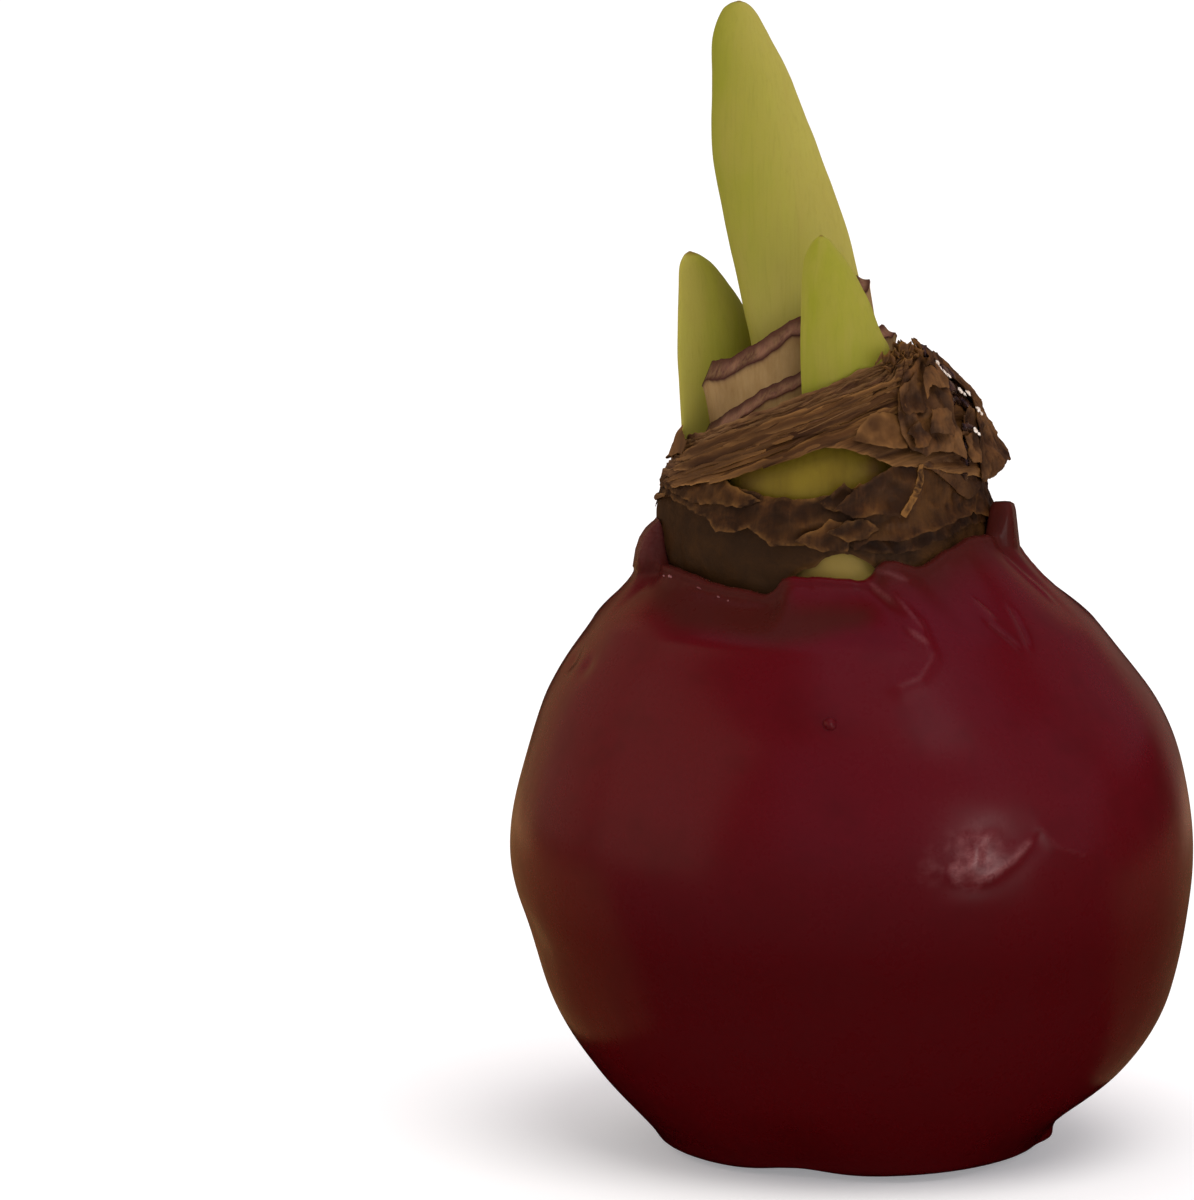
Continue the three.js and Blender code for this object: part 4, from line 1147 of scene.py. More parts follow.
def build_upper_tunic(tunics):
    """The brown skin that hangs from the cut, with its folds and strands along the cut."""
    crumple = tunics.crumple / MM

    def folds(angle, height):
        # they run along the cut, which climbs to the right
        slant = height - cut_height(angle, 2.5, 0)
        place = ring_place(angle, slant) * (0.12, 0.12, 1.0)
        return ridges(place, 1.9, 83, 3) - 0.5

    def relief(angle, height):
        fine = ring_place(angle, height) * (0.6, 0.6, 1)
        degrees = np.degrees(angle)
        flat = -0.35 * hump(apart(degrees, 258), 30) - 0.7 * hump(apart(degrees, 180), 34)
        return flat + crumple * (1.3 * folds(angle, height) + 0.2 * clouds(fine, 1.3, 87, 2))

    skins = Skins()
    # tone darkens the valleys of the folds: painted shade
    tunic_ring(skins, columns=440, rows=52, bottom=lambda a: around(UPPER_BOTTOM, a),
               top=lambda a: cut_height(a, 2.5, 4.4), layer=2.75, thick=0.5, relief=relief,
               seed=89, tone=lambda a, z: np.clip(0.1 - 2.0 * folds(a, z), 0, 1), flare=0.15,
               tear=0.35, grain=under_cut)
    add_ribbons(skins, crumple)
    for outline, seed, rest, crumpled, more in UPPER_FLAPS:
        torn_flap(skins, outline, seed, rest, crumple=crumple * crumpled, **more)
    finish = papery_finish("upper_brown_skin", screen(54, 31, 14), screen(98, 63, 30), screen(132, 93, 51),
                           screen(144, 102, 56), 0.68, gloss=0.2, vein=0.08, run=(0.07, 0.07, 1.0),
                           lumps=(0.22, 0.22, 1.1), rugged=0.14)
    skins.piece("upper_tunic_skin", finish, "dry_tunic", "upper_tunic")


def cut_layer(skins, layer, layers):
    """Adds one thin wavy ring of the cut. The outer ones lie lower, and curl under the hood."""
    columns, rows = 460, 9
    angle = np.linspace(0, 2 * np.pi, columns, endpoint=False)[:, None]
    share = np.linspace(0, 1, rows)[None, :]
    degrees = np.degrees(angle)
    left = 0.9 * hump(apart(degrees, 180), 40)
    curls = ease(degrees, 290, 302) * ease(degrees, 334, 322)
    inward = layer / (layers - 1)
    reach = 3.15 - 2.75 * inward - left * (1 - inward)
    place = ring_place(angle, layer * 9.0)
    drop = 4.0 * (1 - inward) ** 0.9 - 0.35 * clouds(place, 6, 200 + layer, 2)
    drop = drop * (1 - 0.75 * curls) + 0.22 * clouds(place, 1.4, 240 + layer, 2)
    cut = cut_height(angle, reach, 0)
    top = cut - drop
    bottom = cut - 5.3 + 0.5 * inward + 0.35 * clouds(place, 3, 220 + layer, 2)
    height = bottom + (top - bottom) * share
    upright = ring_place(angle, height + layer * 9.0) * (0.5, 0.5, 1)
    wave = 0.16 * clouds(upright, 2.2, 260 + layer, 2)
    wave = wave + curls * 0.35 * np.sin(np.radians(degrees * 95 + 40 * layer)) * share
    lip = 0.25 * share**4 * clouds(place, 4, 280 + layer, 2)
    half = 0.15 * (1 - 0.4 * share**3)
    out = reach + wave + lip
    outer, inner = neck_point(angle, height, out + half), neck_point(angle, height, out - half)
    edge = np.exp(-(top - height) / 0.35) * (0.55 + 0.45 * clouds(place, 3, 300 + layer, 2))
    # tone darkens each layer away from its top edge, down between the layers: painted shade; every other
    # layer is also a little darker
    tone = ease(top - height, 0.5, 1.6) * 0.5 + 0.25 * (layer % 2)
    skins.sheet(outer, inner, True, grain=under_cut(angle, height + layer * 3.7),
                edge=np.clip(edge, 0, 1), tone=np.clip(tone, 0, 1))


def cut_strands(skins, strands=64, at_front=34, sides=6):
    """Adds fine round fibres that lie along the cut, from seeded draws."""
    draw = np.random.default_rng(17)
    s = np.linspace(0, 1, 26)
    for strand in range(strands):
        start = draw.uniform(0, 360)
        if strand < at_front:
            start = draw.uniform(196, 296)
        span = draw.uniform(8, 34)
        level = draw.uniform(0.6, 5.0)
        slope = draw.uniform(-0.02, 0.02)
        at = np.radians(start + span * s)
        reach = 3.1 - 0.62 * (4.6 - level) * 0.9 + 0.38
        out = np.clip(reach, 0.9, 3.6) + 0.12 * np.sin(s * 9 + strand)
        out = out - 0.9 * hump(apart(np.degrees(at), 180), 40)
        z = cut_height(at, 3.0, level) + slope * span * (s - 0.5) + 0.2 * np.sin(s * 5 + strand * 1.7)
        middle = neck_point(at, z, out)
        thick = draw.uniform(0.09, 0.17) * np.sin(math.pi * np.clip(s, 0.04, 0.96)) ** 0.4
        outward = np.stack([np.cos(at), np.sin(at), 0 * at], -1)
        up = np.array([0, 0, 1])
        ring = [middle + thick[:, None] * (outward * math.cos(t) * 0.7 + up * math.sin(t))
                for t in np.arange(sides) * 2 * math.pi / sides]
        loops = np.stack(ring, 1)
        skins.add(loops, loft(loops), grain=np.repeat(under_cut(at, z + strand), sides, 0),
                  edge=draw.uniform(0.0, 0.9), tone=draw.uniform(0, 0.5))


def build_cut_edges(tunics):
    """The stacked edges of the cut skins: thin wavy rings, the inner ones standing higher."""
    skins = Skins()
    for layer in range(tunics.layers):
        cut_layer(skins, layer, tunics.layers)
    cut_strands(skins)
    skins.piece("cut_edge_layers", cut_finish(), "cut_edges", "cut_ring", sharp=70)


# The hood's skins: outline (angle, height, out), seed, rest, tone.
HOOD_FLAPS = [
    # the brown face at the left of the hollow
    ([(296, 108.6, 3.9), (295, 105.0, 4.3), (298, 101.4, 4.4), (304, 99.8, 4.4), (310, 100.6, 4.0),
      (316, 100.4, 4.1), (321, 99.0, 4.6), (323, 102.0, 4.4), (322, 105.0, 4.6), (324, 107.6, 4.8),
      (326, 110.4, 4.6), (322, 112.6, 4.2), (312, 113.0, 4.0), (302, 111.6, 3.9)], 401, 3.9, 0.15),
    # a torn fold on it
    ([(306.5, 107.6, 5.4), (308.5, 110.6, 5.0), (314, 112.0, 4.7), (323, 112.0, 4.7), (326, 110.0, 5.2),
      (322, 108.4, 5.4), (316, 109.0, 5.5), (311, 109.6, 5.6)], 403, 4.8, 0.2),
    # the outer flap, with its torn point
    ([(322, 113.6, 4.1), (340, 112.9, 4.1), (360, 112.2, 4.1), (380, 111.6, 4.1), (398, 110.4, 4.0),
      (410, 106.0, 4.4), (414, 101.0, 4.6), (402, 98.6, 4.8), (388, 97.4, 4.7), (376, 99.0, 5.3),
      (366, 98.9, 5.6), (360, 97.6, 6.0), (355, 97.1, 5.4), (349, 96.3, 4.6), (343, 95.2, 3.5),
      (336, 95.6, 3.2), (334, 98.4, 4.2), (334, 102.0, 4.9), (337, 105.0, 5.3), (342, 107.4, 5.2),
      (338, 109.6, 4.9), (331, 111.6, 4.5)], 409, 4.05, 0.0),
    # the lump under the hollow
    ([(325, 102.2, 4.0), (327, 104.8, 4.8), (332, 106.0, 5.2), (337, 105.2, 5.0), (336, 102.8, 4.6),
      (331, 101.4, 4.4)], 419, 4.6, 0.1),
]
# Small scraps on the hood: angle, height, out, half sizes across in degrees and up.
HOOD_SCRAPS = [
    (303, 108.4, 4.3, 7.0, 2.8), (313, 104.4, 5.2, 7.0, 2.0), (301, 102.9, 4.8, 4.5, 1.6),
    (318, 112.4, 4.6, 6.5, 1.4), (327, 100.6, 4.7, 4.5, 2.6),
]
# Small pale drops of dried sap in the hollow, whose near-white colour paints glints: angle, height, out,
# size.
SAP_GLINTS = [
    (322, 112.2, 4.5, 0.3), (325, 111.8, 4.8, 0.4), (327, 111.0, 4.8, 0.26), (328, 110.4, 5.0, 0.34),
    (331, 110.0, 5.0, 0.26), (333, 108.0, 5.0, 0.34), (335, 107.4, 5.1, 0.22), (339, 107.4, 5.2, 0.3),
    (338, 105.2, 5.4, 0.34), (339.5, 104.6, 5.4, 0.2), (329, 102.8, 5.5, 0.26), (330.5, 102.2, 5.5, 0.2),
]
# Dark wet folds in the hollow: angle, height, out, half sizes across and up.
WET_LUMPS = [
    (333, 108.4, 3.6, 1.5, 1.3), (343, 108.1, 3.4, 1.4, 1.2), (328, 107.0, 3.2, 1.3, 1.2),
    (341, 105.8, 3.7, 1.2, 1.1), (336, 106.9, 3.0, 1.2, 1.0), (329, 103.2, 4.3, 1.0, 0.8),
    (338, 110.4, 4.0, 1.3, 1.0), (343, 110.0, 4.1, 1.1, 0.9), (324, 113.2, 3.9, 1.5, 1.1),
    (330, 99.8, 2.6, 1.6, 2.2), (326, 97.6, 2.4, 1.3, 2.0), (333, 110.9, 4.2, 1.0, 0.8),
]
# The radius at which a pebble of the hood is laid round the neck.
PEBBLE_REACH = 16
# Lower edge of the hood's inner skin: angle, height.
HOOD_BOTTOM = [
    (-60, 100), (-44, 96), (-34, 93.4), (-20, 95.5), (-6, 97.6), (20, 96.6), (40, 97), (70, 99.6),
]


def hood_lining(skins):
    """Adds the skin under the hood's flaps, pressed in at the hollow and darkened there: wet skin and
    painted shade.
    """
    columns, rows = 190, 40
    angle = np.radians(np.linspace(HOOD_BOTTOM[0][0], HOOD_BOTTOM[-1][0], columns))[:, None]
    degrees = np.degrees(angle)
    low = smooth_table(HOOD_BOTTOM, degrees)
    height = low + (cut_height(angle, 3.0, 0.5) - low) * np.linspace(0, 1, rows)[None, :]
    place = ring_place(angle, height)
    out = 3.0 + 0.5 * (ridges(place, 3.2, 431) - 0.5) + 0.18 * clouds(place, 1.1, 433, 2)
    out = out - 1.3 * hump(apart(degrees, 333), 9) * ease(height, 94, 98) * ease(height, 112, 109)
    outer, inner = neck_point(angle, height, out), neck_point(angle, height, out - 0.5)
    # darker towards the hollow: partly the wet skin, partly painted shade in the recess
    wet = np.clip(0.3 + 0.7 * hump(apart(degrees, 334), 13), 0, 1)
    skins.sheet(outer, inner, False, grain=place, edge=0.0, tone=wet + 0 * height)


def hood_curls(skins, draw, strands=26):
    """Adds the curled ends of the cut skins on top of the hood."""
    s = np.linspace(0, 1, 40)
    across = np.linspace(-1, 1, 5)[None, :]
    for strand in range(strands):
        start, span = draw.uniform(289, 316), draw.uniform(7, 17)
        at = np.radians(start + span * s)
        level = draw.uniform(-0.9, 1.6)
        depth = draw.uniform(0.4, 3.7)
        beat = draw.uniform(9, 17)
        out = depth + draw.uniform(0.25, 0.5) * np.sin(beat * s + strand)
        swing = draw.uniform(0.25, 0.5) * np.cos(beat * s * 0.9 + strand * 2)
        z = cut_height(at, 2.5, level) + swing
        tall = draw.uniform(0.35, 0.75) * np.sin(np.pi * np.clip(s, 0.06, 0.94))[:, None] ** 0.6
        high = z[:, None] + tall * across
        lift = out[:, None] + 0.15 * across
        thin = 0.05 + 0.1 * (1 - across**2)
        at = at[:, None]
        skins.sheet(neck_point(at, high, lift + thin), neck_point(at, high, lift - thin), False,
                    grain=ring_place(at, high + strand), edge=0.9 * across**2 + 0 * high,
                    tone=draw.uniform(-0.2, 0.5) + 0 * high)


def hood_pebbles(name, finish, rows):
    """Makes a piece of small pebbles, from rows of (angle, height, out, a pebble's loops)."""
    skins = Skins()
    for at, level, out, loops in rows:
        across, up, deep = np.moveaxis(loops, -1, 0)
        points = neck_point(math.radians(at) + across / PEBBLE_REACH, level + up, out + deep)
        skins.add(points, loft(points), grain=points.reshape(-1, 3))
    skins.piece(name, finish, "hood", "hood_flap")


def build_hood(tunics):
    """The crumpled hood: its flaps, scraps and curls, the wet folds in its hollow, and pale drops of dried
    sap that paint glints.
    """
    crumple = tunics.crumple / MM
    skins = Skins()
    hood_lining(skins)
    for outline, seed, rest, tone in HOOD_FLAPS:
        torn_flap(skins, outline, seed, rest, crumple=crumple * 1.9, tone=tone, thick=0.4, curl=2.0,
                  light=0.3)
    # crumpled scraps that cling to the face of the hood
    draw = np.random.default_rng(53)
    for number, (at, level, out, wide, tall) in enumerate(HOOD_SCRAPS):
        turn = np.linspace(0, 2 * np.pi, 9, endpoint=False) + draw.uniform(0, 0.6)
        size = draw.uniform(0.7, 1.1, 9)
        outline = [(at + wide * size[n] * math.cos(t), level + tall * size[n] * math.sin(t),
                    out + draw.uniform(-0.3, 0.9)) for n, t in enumerate(turn)]
        torn_flap(skins, outline, 700 + 17 * number, out, crumple=crumple * 1.8, curl=1.5, tear=0.8,
                  thick=0.35, tone=draw.uniform(0, 0.4), light=0.25)
    hood_curls(skins, draw)
    dry = papery_finish("hood_skin", screen(46, 26, 11), screen(92, 58, 28), screen(120, 82, 44),
                        tuple(tunics.torn), 0.6, gloss=0.22, vein=0.05, specular=0.2)
    skins.piece("hood_skins", dry, "hood", "hood_flap")
    hood_pebbles("hood_wet_folds", wet_fold_finish(), [
        (at, level, out, pebble(wide, tall, 0.75, 0.28, 0.9, 500 + number))
        for number, (at, level, out, wide, tall) in enumerate(WET_LUMPS)])
    # pale drops whose colour paints glints in the hollow
    hood_pebbles("hood_sap_glints", sap_glint_finish(), [
        (at, level, out, pebble(size, size * 1.3, size * 0.7, 0.5, size * 0.8, 540 + number))
        for number, (at, level, out, size) in enumerate(SAP_GLINTS)])


# Cut leaf bases. Each runs from start to end round its middle, with the half sizes across and deep.
# Its left side leans out by flare and bends by settle. Its cut is so high at the top, and climbs by
# rise to the right and by tilt to the back.
SCALES = {
    "front_scale": dict(middle=-7.8, across=13.5, deep=12.4, start=189, end=463, flare=0.12,
                        settle=0.0, top=113.6, rise=0.58, tilt=-0.15, seed=11),
    "inner_scale": dict(middle=-8.1, across=11.5, deep=10.6, start=188, end=458, flare=0.1,
                        settle=0.006, top=121.8, rise=0.606, tilt=0.0, seed=23),
    "back_scale": dict(middle=-4.5, across=15, deep=15.4, start=52, end=138, flare=0.0,
                       settle=0.0, top=112.5, rise=0.45, tilt=-0.05, seed=37),
}
SCALE_THICKNESS = 1.5
# The outer rim of a cut lies so far under the inner one.
SCALE_BEVEL = 2.0
# Columns of a scale for each degree, its rows, and the closer rows just under the cut.
SCALE_COLUMNS, SCALE_ROWS, CLOSE_ROWS = 0.72, 46, 14
# The skin of each face stands up at the cut, and the cut dries hollow between them.
OUTER_CURL, INNER_CURL, CUT_HOLLOW = 0.22, -0.12, 0.32


def build_scale(name, middle, across, deep, start, end, flare, settle, top, rise, tilt, seed):
    """One cut leaf base: a thick curved scale with a slanted cut across its top."""
    columns = round((end - start) * SCALE_COLUMNS)
    angle = np.radians(np.linspace(start, end, columns))[:, None]
    share = np.concatenate(
        [np.linspace(0, 0.9, SCALE_ROWS), np.linspace(0.91, 1, CLOSE_ROWS)])[None, :]

    def face(inwards, bevel, curl):
        """Points of one face (column, row, xyz), and how far under the cut each lies."""
        x = middle + (across - inwards) * np.cos(angle)
        y = (deep - inwards) * np.sin(angle)
        low = cut_plane(x, y, START_DROP)
        place = ring_place(angle, 0.0, across)
        worn = 0.5 * clouds(place, 3.4, seed, 2) + 0.12 * clouds(place, 0.8, seed + 5, 2)
        high = top + rise * x + tilt * y + worn - bevel * (1 + 0.3 * clouds(place, 2.6, seed + 7, 2))
        climb = (high - low) * share
        side = flare * climb * np.minimum(0, np.cos(angle)) - settle * climb**2
        height = low + climb
        upright = np.stack(np.broadcast_arrays(x, y, height), -1)
        bulge = 0.16 * clouds(upright * (1, 1, 0.25), 3.5, seed + 9, 2)
        bulge = bulge + 0.05 * clouds(upright * (1, 1, 0.04), 0.8, seed + 12, 2)
        reach = bulge + curl * np.exp(-(high - height) / 0.5)
        points = [x + side + reach * np.cos(angle), y + reach * np.sin(angle), height]
        return np.stack(points, -1), high - height

    outer, from_top = face(0.0, SCALE_BEVEL, OUTER_CURL)
    inner, _ = face(SCALE_THICKNESS, 0.0, INNER_CURL)
    band = np.linspace(0, 1, 8)[1:-1]
    cut = []
    for s in band:
        row = outer[:, -1] * (1 - s) + inner[:, -1] * s
        row[:, 2] -= CUT_HOLLOW * math.sin(math.pi * s)
        cut.append(row)
    loops = np.concatenate([outer, np.stack(cut, 1), inner[:, ::-1]], 1)
    rim = np.exp(-from_top / 0.35)
    across_cut = np.tile(1 - 0.8 * np.sin(math.pi * band) ** 1.5, (columns, 1))
    edge = np.concatenate([rim, across_cut, rim[:, ::-1]], 1)
    stain = np.exp(-from_top / 1.0) * 0.65
    stain = np.concatenate([stain, np.full((columns, len(band)), 0.9), stain[:, ::-1]], 1)
    skins = Skins()
    skins.add(loops, loft(loops), grain=loops.reshape(-1, 3), edge=edge, tone=stain)
    skins.piece(name + "_flesh", bpy.data.materials["cream_cut_scale"], "cut_scale", name, sharp=70)


# Green shoots. A section is turned by turn, bends by bow, and its sides are the sharper the larger
# keel is. The yellow shares say how yellow it is at the middle, how much more to its right, and at
# its foot; the share to its right paints light on the lit side. Brown is how far down the tip is
# brown. Stations: height, x, y, width, thickness.
SHOOTS = {
    "tall_shoot": dict(turn=0, bow=0.0, keel=1.25, slot="shoot", yellow_and_lit=(0.5, 0.5, 0.6),
                       brown=0.2, stations=[
        (106, -5.8, 0, 14, 7.6), (116, -6.6, 0, 15.8, 8.4), (127, -8.9, 0, 16.4, 8.6),
        (140, -12.4, 0.4, 14.7, 7.9), (150, -14.4, 0.8, 10.9, 6.6), (156, -15.9, 1, 7.9, 5.4),
        (159.6, -16.3, 1, 4.6, 3.4), (161, -16.2, 1, 1.2, 1.2)]),
    "left_leaf": dict(turn=33, bow=-0.5, keel=1.2, slot="leaf", yellow_and_lit=(0.35, -0.35, 0),
                      brown=0.5, stations=[
        (99, -18.4, 4, 13.2, 3.8), (106, -18.9, 4.2, 13.4, 4.4), (112, -19.5, 4.4, 12.6, 4.4),
        (117, -20.2, 4.6, 11.2, 4), (121, -21.2, 4.6, 8.2, 3.4), (124, -22.2, 4.3, 5.2, 2.5),
        (125.9, -23, 4, 1.2, 1)]),
    "front_leaf": dict(turn=12, bow=0.8, keel=1.2, slot="leaf", yellow_and_lit=(0.12, 0.15, 0),
                       brown=0.2, stations=[
        (109, -0.9, -14.6, 12.4, 2.6), (112.7, -1.1, -14.6, 12.4, 3), (116.1, -1.8, -14.6, 11, 3.2),
        (119.9, -2.4, -14.3, 9.6, 3.1), (123.6, -3.3, -13.8, 7.8, 2.8), (126.9, -4.1, -13.3, 5.2, 2.2),
        (129.7, -4.6, -13, 1.2, 1)]),
}
# How finely a shoot is meshed: round it, and up it.
SHOOT_SIDES, SHOOT_ROWS = 72, 150


def build_shoot(name, turn, bow, keel, slot, yellow_and_lit, brown, stations):
    """A shoot: level sections with a soft keel along both faces and a rounded tip."""
    table = np.array(stations, float)
    last = len(table) - 1
    # the rows stand closer together towards the tip
    share = 1 - (1 - np.linspace(0, 1, SHOOT_ROWS)) ** 1.35
    at = share * last
    height, x, y, width, thick = (
        smooth_table(np.column_stack([np.arange(last + 1), table[:, n]]), at)[:, None]
        for n in range(5))
    tip = np.sqrt(np.clip(1 - ease(at, last - 0.35, last)[:, None] ** 2, 0.0, 1))
    width, thick = width * (0.25 + 0.75 * tip), thick * (0.25 + 0.75 * tip)
    # sections: round, with the sides drawn out sharp, turned round the shoot
    round_it = ((np.arange(SHOOT_SIDES) + 0.5) / SHOOT_SIDES * 2 * np.pi)[None, :]
    lens = np.sign(np.sin(round_it)) * np.abs(np.sin(round_it)) ** keel
    a = width / 2 * np.cos(round_it)
    b = thick / 2 * lens - bow * (1 - 2 * np.cos(round_it) ** 2) * (width / table[0, 3])
    cos, sin = math.cos(math.radians(turn)), math.sin(math.radians(turn))
    px, py = x + a * cos - b * sin, y + a * sin + b * cos
    # the foot follows the slanting seat
    seat = cut_plane(px, py, START_DROP)
    slant = (seat - cut_plane(x, y, START_DROP)) * (1 - share[:, None]) ** 3
    loops = np.stack(np.broadcast_arrays(px, py, height + slant), -1)
    # veins and soft swellings, which fade out at the tip
    ribs = 0.05 * clouds(np.stack([px, py, height * 0.03 + 0 * px], -1), 1.1, len(name), 2)
    soft = 0.14 * clouds(loops, 7, len(name) + 3, 2)
    outward = np.stack([np.cos(round_it) * cos - lens * sin, np.cos(round_it) * sin + lens * cos,
                        0 * round_it], -1)
    swelling = (ribs + soft) * ease(at, last, last - 0.5)[:, None]
    loops = loops + outward * swelling[..., None]
    foot = loops[:1].copy()
    foot[..., 2] = cut_plane(foot[..., 0], foot[..., 1], START_DROP)
    loops = np.concatenate([foot, loops])
    up = np.concatenate([[0], share])[:, None]
    middle, right, low = yellow_and_lit
    # painted light: the share to the right makes one side of the shoot yellower, as if lit; the foot's
    # yellow is its own
    tone = np.clip(middle + right * np.cos(round_it) + 0 * up, 0, 1)
    tone = np.clip(tone + low * ease(up, 0.4, 0.1), 0, 1)
    skins = Skins()
    skins.add(loops, loft(loops), grain=loops.reshape(-1, 3), tone=tone,
              edge=hump(loops[..., 2] - table[-1, 0], brown) * 0.8)
    skins.piece(name + "_skin", bpy.data.materials["green_shoot"], slot, name, sharp=80)


# ------------------------------------------------------------------ stage


BULB_MIDDLE = (0, 0, 0.08)
# Area lamps: name, place, size, power, colour, and where they aim. The low cards throw a brown edge
# on the lower sides.
LAMPS = [
    ("key", (0.79, -0.83, 0.19), (0.3, 0.3), 0.8, (1, 0.9, 0.88), BULB_MIDDLE),
    ("upper_key", (0.5, -0.5, 0.85), (0.3, 0.3), 0.16, (1, 0.82, 0.9), BULB_MIDDLE),
    ("front_wall", (0.5, -1.9, 1.05), (3.4, 1.7), 1.9, (0.85, 0.6, 1), BULB_MIDDLE),
    ("right_haze", (1.7, -0.5, 0.8), (1.5, 1.4), 0.95, (1, 0.62, 0.85), BULB_MIDDLE),
    ("ceiling", (0.2, 0.1, 1.8), (2.4, 2.0), 2.8, (0.95, 0.62, 1), BULB_MIDDLE),
    ("left_haze", (-1.5, -0.5, 0.7), (1.7, 1.5), 2.6, (1, 0.66, 0.5), BULB_MIDDLE),
    ("left_back", (-1.4, 0.8, 0.6), (1.1, 1.3), 1.1, (1, 0.6, 0.42), BULB_MIDDLE),
    ("right_back", (1.35, 0.9, 0.85), (1.2, 1.0), 0.5, (1, 0.62, 0.8), BULB_MIDDLE),
    ("left_wall", (-0.75, 1.2, 0.38), (0.6, 1.1), 0.55, (1, 0.56, 0.27), BULB_MIDDLE),
    ("right_wall", (0.6, 1.3, 0.35), (0.5, 1.1), 0.42, (1, 0.6, 0.45), BULB_MIDDLE),
    ("left_card", (-0.25, 0.22, 0.004), (0.4, 0.5), 0.21, (1, 0.5, 0.2), (-0.25, 0.22, 1)),
    ("right_card", (0.22, 0.24, 0.004), (0.36, 0.5), 0.13, (1, 0.5, 0.25), (0.22, 0.24, 1)),
]
# A broad white light from above, with the way it shines.
HIGH_LIGHT, HIGH_LIGHT_SPREAD, HIGH_LIGHT_WAY = 1.3, 40, (-0.2, 0.5, -1)
# The floor reaches so far each way, and glows a little.
FLOOR_REACH = 12
FLOOR_GLOW = (0.26, 0.265, 0.275, 1)
WORLD_COLOUR, WORLD_STRENGTH = (1, 0.995, 0.985, 1), 0.62
CAMERA_PLACE = (0, -0.99027, 0.21638)
CAMERA_AIM = (-0.03583, 0, 0.07721)
CAMERA_LENS, CAMERA_SENSOR = 214.3, 36


def place_object(name, data, place=(0, 0, 0), aim=None):
    """Adds an object to the scene, turned towards its aim when it has one, and returns it."""
    made = bpy.data.objects.new(name, data)
    made.location = place
    if aim:
        way = Vector(aim) - Vector(place)
        made.rotation_euler = way.to_track_quat("-Z", "Y").to_euler()
    bpy.context.scene.collection.objects.link(made)
    return made


def add_floor(shade):
    """The pale floor, which no glossy skin mirrors."""
    floor = bpy.data.meshes.new("floor")
    floor.from_pydata(
        [(x * FLOOR_REACH, y * FLOOR_REACH, 0) for x, y in ((-1, -1), (1, -1), (1, 1), (-1, 1))],
        [], [(0, 1, 2, 3)])
    f = Finish("pale_floor", Specular_IOR_Level=0.1, Roughness=0.9, Emission_Strength=1.0,
               Emission_Color=FLOOR_GLOW)
    speck = f.noise(f.node("TexCoord", 3), 0.004, 2.0)
    floor.materials.append(f.dress(f.blend(speck, tuple(c * 0.985 for c in shade), shade), 0.9))
    piece = place_object("floor", floor)
    piece.visible_glossy = False


def add_world():
    """An even white surround, which no glossy skin mirrors."""
    world = bpy.data.worlds.new("studio")
    bpy.context.scene.world = world
    world.use_nodes = True
    back = world.node_tree.nodes["Background"]
    back.inputs["Color"].default_value = WORLD_COLOUR
    back.inputs["Strength"].default_value = WORLD_STRENGTH
    world.cycles_visibility.glossy = False


def add_lamps(light):
    """The high light and the area lamps, at a multiple of their power."""
    sun = bpy.data.lights.new("high_light", "SUN")
    sun.energy = HIGH_LIGHT * light
    sun.angle = math.radians(HIGH_LIGHT_SPREAD)
    sun.color = (1, 0.985, 0.95)
    place_object("high_light", sun, aim=HIGH_LIGHT_WAY).visible_glossy = False
    for name, place, size, power, colour, aim in LAMPS:
        data = bpy.data.lights.new(name, "AREA")
        data.shape = "RECTANGLE"
        data.size, data.size_y = size
        data.energy = power * light
        data.color = colour
        place_object(name, data, place, aim).visible_camera = False


def add_camera():
    """The camera, in front of the bulb and a little above it."""
    camera = bpy.data.cameras.new("camera")
    camera.lens = CAMERA_LENS
    camera.sensor_width = CAMERA_SENSOR
    bpy.context.scene.camera = place_object("camera", camera, CAMERA_PLACE, CAMERA_AIM)
    bpy.context.scene.view_settings.view_transform = "Standard"


def build_stage(stage):
    """The floor, the surround, the lamps and the camera."""
    add_floor(tuple(stage.floor))
    add_world()
    add_lamps(stage.light)
    add_camera()


# ------------------------------------------------------------------ operators


class AMARYLLIS_OT_wax(bpy.types.Operator):
    """Adds the wax coat"""

    bl_idname = "amaryllis.wax"
    bl_label = "Wax coat"

    def execute(self, context):
        build_wax(context.scene.amaryllis_wax)
        return {"FINISHED"}


class AMARYLLIS_OT_flesh(bpy.types.Operator):
    """Adds the fleshy bulb inside the wax, with its neck"""

    bl_idname = "amaryllis.flesh"
    bl_label = "Flesh"

    def execute(self, context):
        build_flesh()
        return {"FINISHED"}


class AMARYLLIS_OT_tunics(bpy.types.Operator):
    """Adds the papery skins round the neck"""

    bl_idname = "amaryllis.tunics"
    bl_label = "Tunics"

    def execute(self, context):
        tunics = context.scene.amaryllis_tunics
        build_wet_tunic(tunics)
        build_torn_tunic(tunics)
        build_upper_tunic(tunics)
        return {"FINISHED"}


class AMARYLLIS_OT_cut_edges(bpy.types.Operator):
    """Adds the stacked edges of the cut skins"""

    bl_idname = "amaryllis.cut_edges"
    bl_label = "Cut edges"

    def execute(self, context):
        build_cut_edges(context.scene.amaryllis_tunics)
        return {"FINISHED"}


class AMARYLLIS_OT_hood(bpy.types.Operator):
    """Adds the crumpled hood at the right of the neck"""

    bl_idname = "amaryllis.hood"
    bl_label = "Hood"

    def execute(self, context):
        build_hood(context.scene.amaryllis_tunics)
        return {"FINISHED"}


class AMARYLLIS_OT_scales(bpy.types.Operator):
    """Adds the cut leaf bases inside the neck"""

    bl_idname = "amaryllis.scales"
    bl_label = "Cut scales"

    def execute(self, context):
        scale_finish()
        for name, form in SCALES.items():
            build_scale(name, **form)
        return {"FINISHED"}


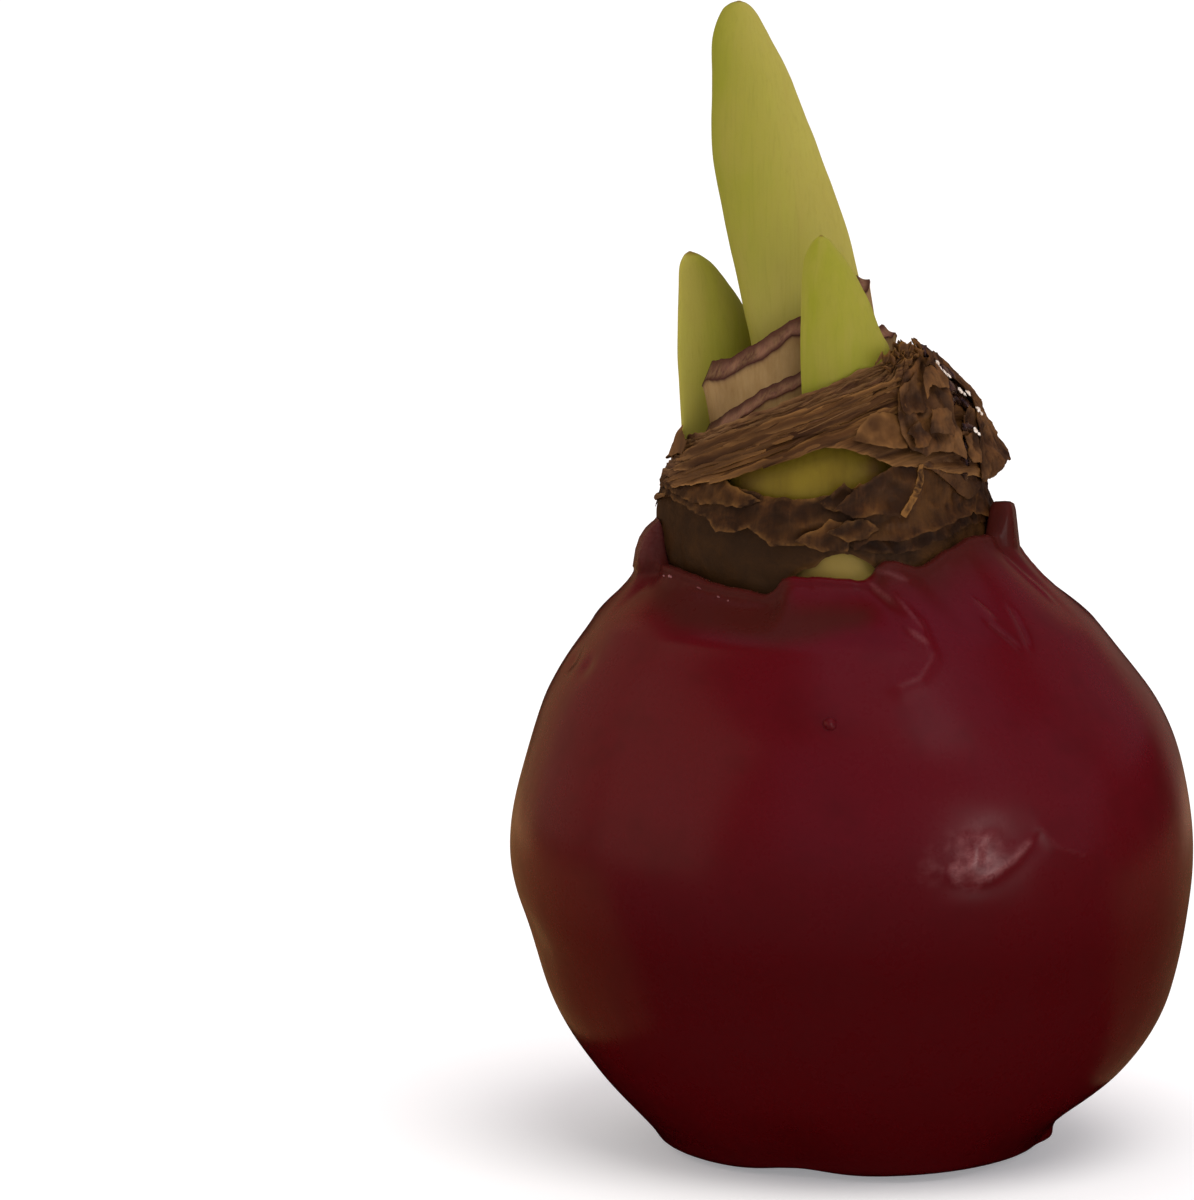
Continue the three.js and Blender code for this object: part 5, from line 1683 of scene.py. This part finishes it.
class AMARYLLIS_OT_shoots(bpy.types.Operator):
    """Adds the green shoots"""

    bl_idname = "amaryllis.shoots"
    bl_label = "Shoots"

    def execute(self, context):
        shoot_finish(context.scene.amaryllis_shoots)
        for name, form in SHOOTS.items():
            build_shoot(name, **form)
        return {"FINISHED"}


class AMARYLLIS_OT_stage(bpy.types.Operator):
    """Adds the floor, the lamps and the camera"""

    bl_idname = "amaryllis.stage"
    bl_label = "Stage"

    def execute(self, context):
        build_stage(context.scene.amaryllis_stage)
        return {"FINISHED"}


OPERATORS = [
    AMARYLLIS_OT_stage, AMARYLLIS_OT_wax, AMARYLLIS_OT_flesh, AMARYLLIS_OT_tunics,
    AMARYLLIS_OT_cut_edges, AMARYLLIS_OT_hood, AMARYLLIS_OT_scales, AMARYLLIS_OT_shoots,
]
SETTINGS = {
    "amaryllis_wax": AmaryllisWax, "amaryllis_tunics": AmaryllisTunics,
    "amaryllis_shoots": AmaryllisShoots, "amaryllis_stage": AmaryllisStage,
}


class AMARYLLIS_PT_panel(bpy.types.Panel):
    """Lists the steps and settings of the bulb"""

    bl_label = "Waxed amaryllis bulb"
    bl_space_type = "VIEW_3D"
    bl_region_type = "UI"
    bl_category = "Amaryllis"

    def draw(self, context):
        for operator in OPERATORS:
            self.layout.operator(operator.bl_idname)
        for name in SETTINGS:
            group = getattr(context.scene, name)
            box = self.layout.box()
            for key in group.__annotations__:
                box.prop(group, key)


def register():
    """Adds the settings, the operators and the panel."""
    for made in [*SETTINGS.values(), *OPERATORS, AMARYLLIS_PT_panel]:
        bpy.utils.register_class(made)
    for name, made in SETTINGS.items():
        setattr(bpy.types.Scene, name, PointerProperty(type=made))


def unregister():
    """Takes them away again."""
    for name in SETTINGS:
        delattr(bpy.types.Scene, name)
    for made in reversed([*SETTINGS.values(), *OPERATORS, AMARYLLIS_PT_panel]):
        bpy.utils.unregister_class(made)


def main():
    """Builds the scene."""
    register()
    bpy.ops.amaryllis.stage()
    bpy.ops.amaryllis.wax()
    bpy.ops.amaryllis.flesh()
    bpy.ops.amaryllis.tunics()
    bpy.ops.amaryllis.cut_edges()
    bpy.ops.amaryllis.hood()
    bpy.ops.amaryllis.scales()
    bpy.ops.amaryllis.shoots()


if __name__ == "__main__":
    main()
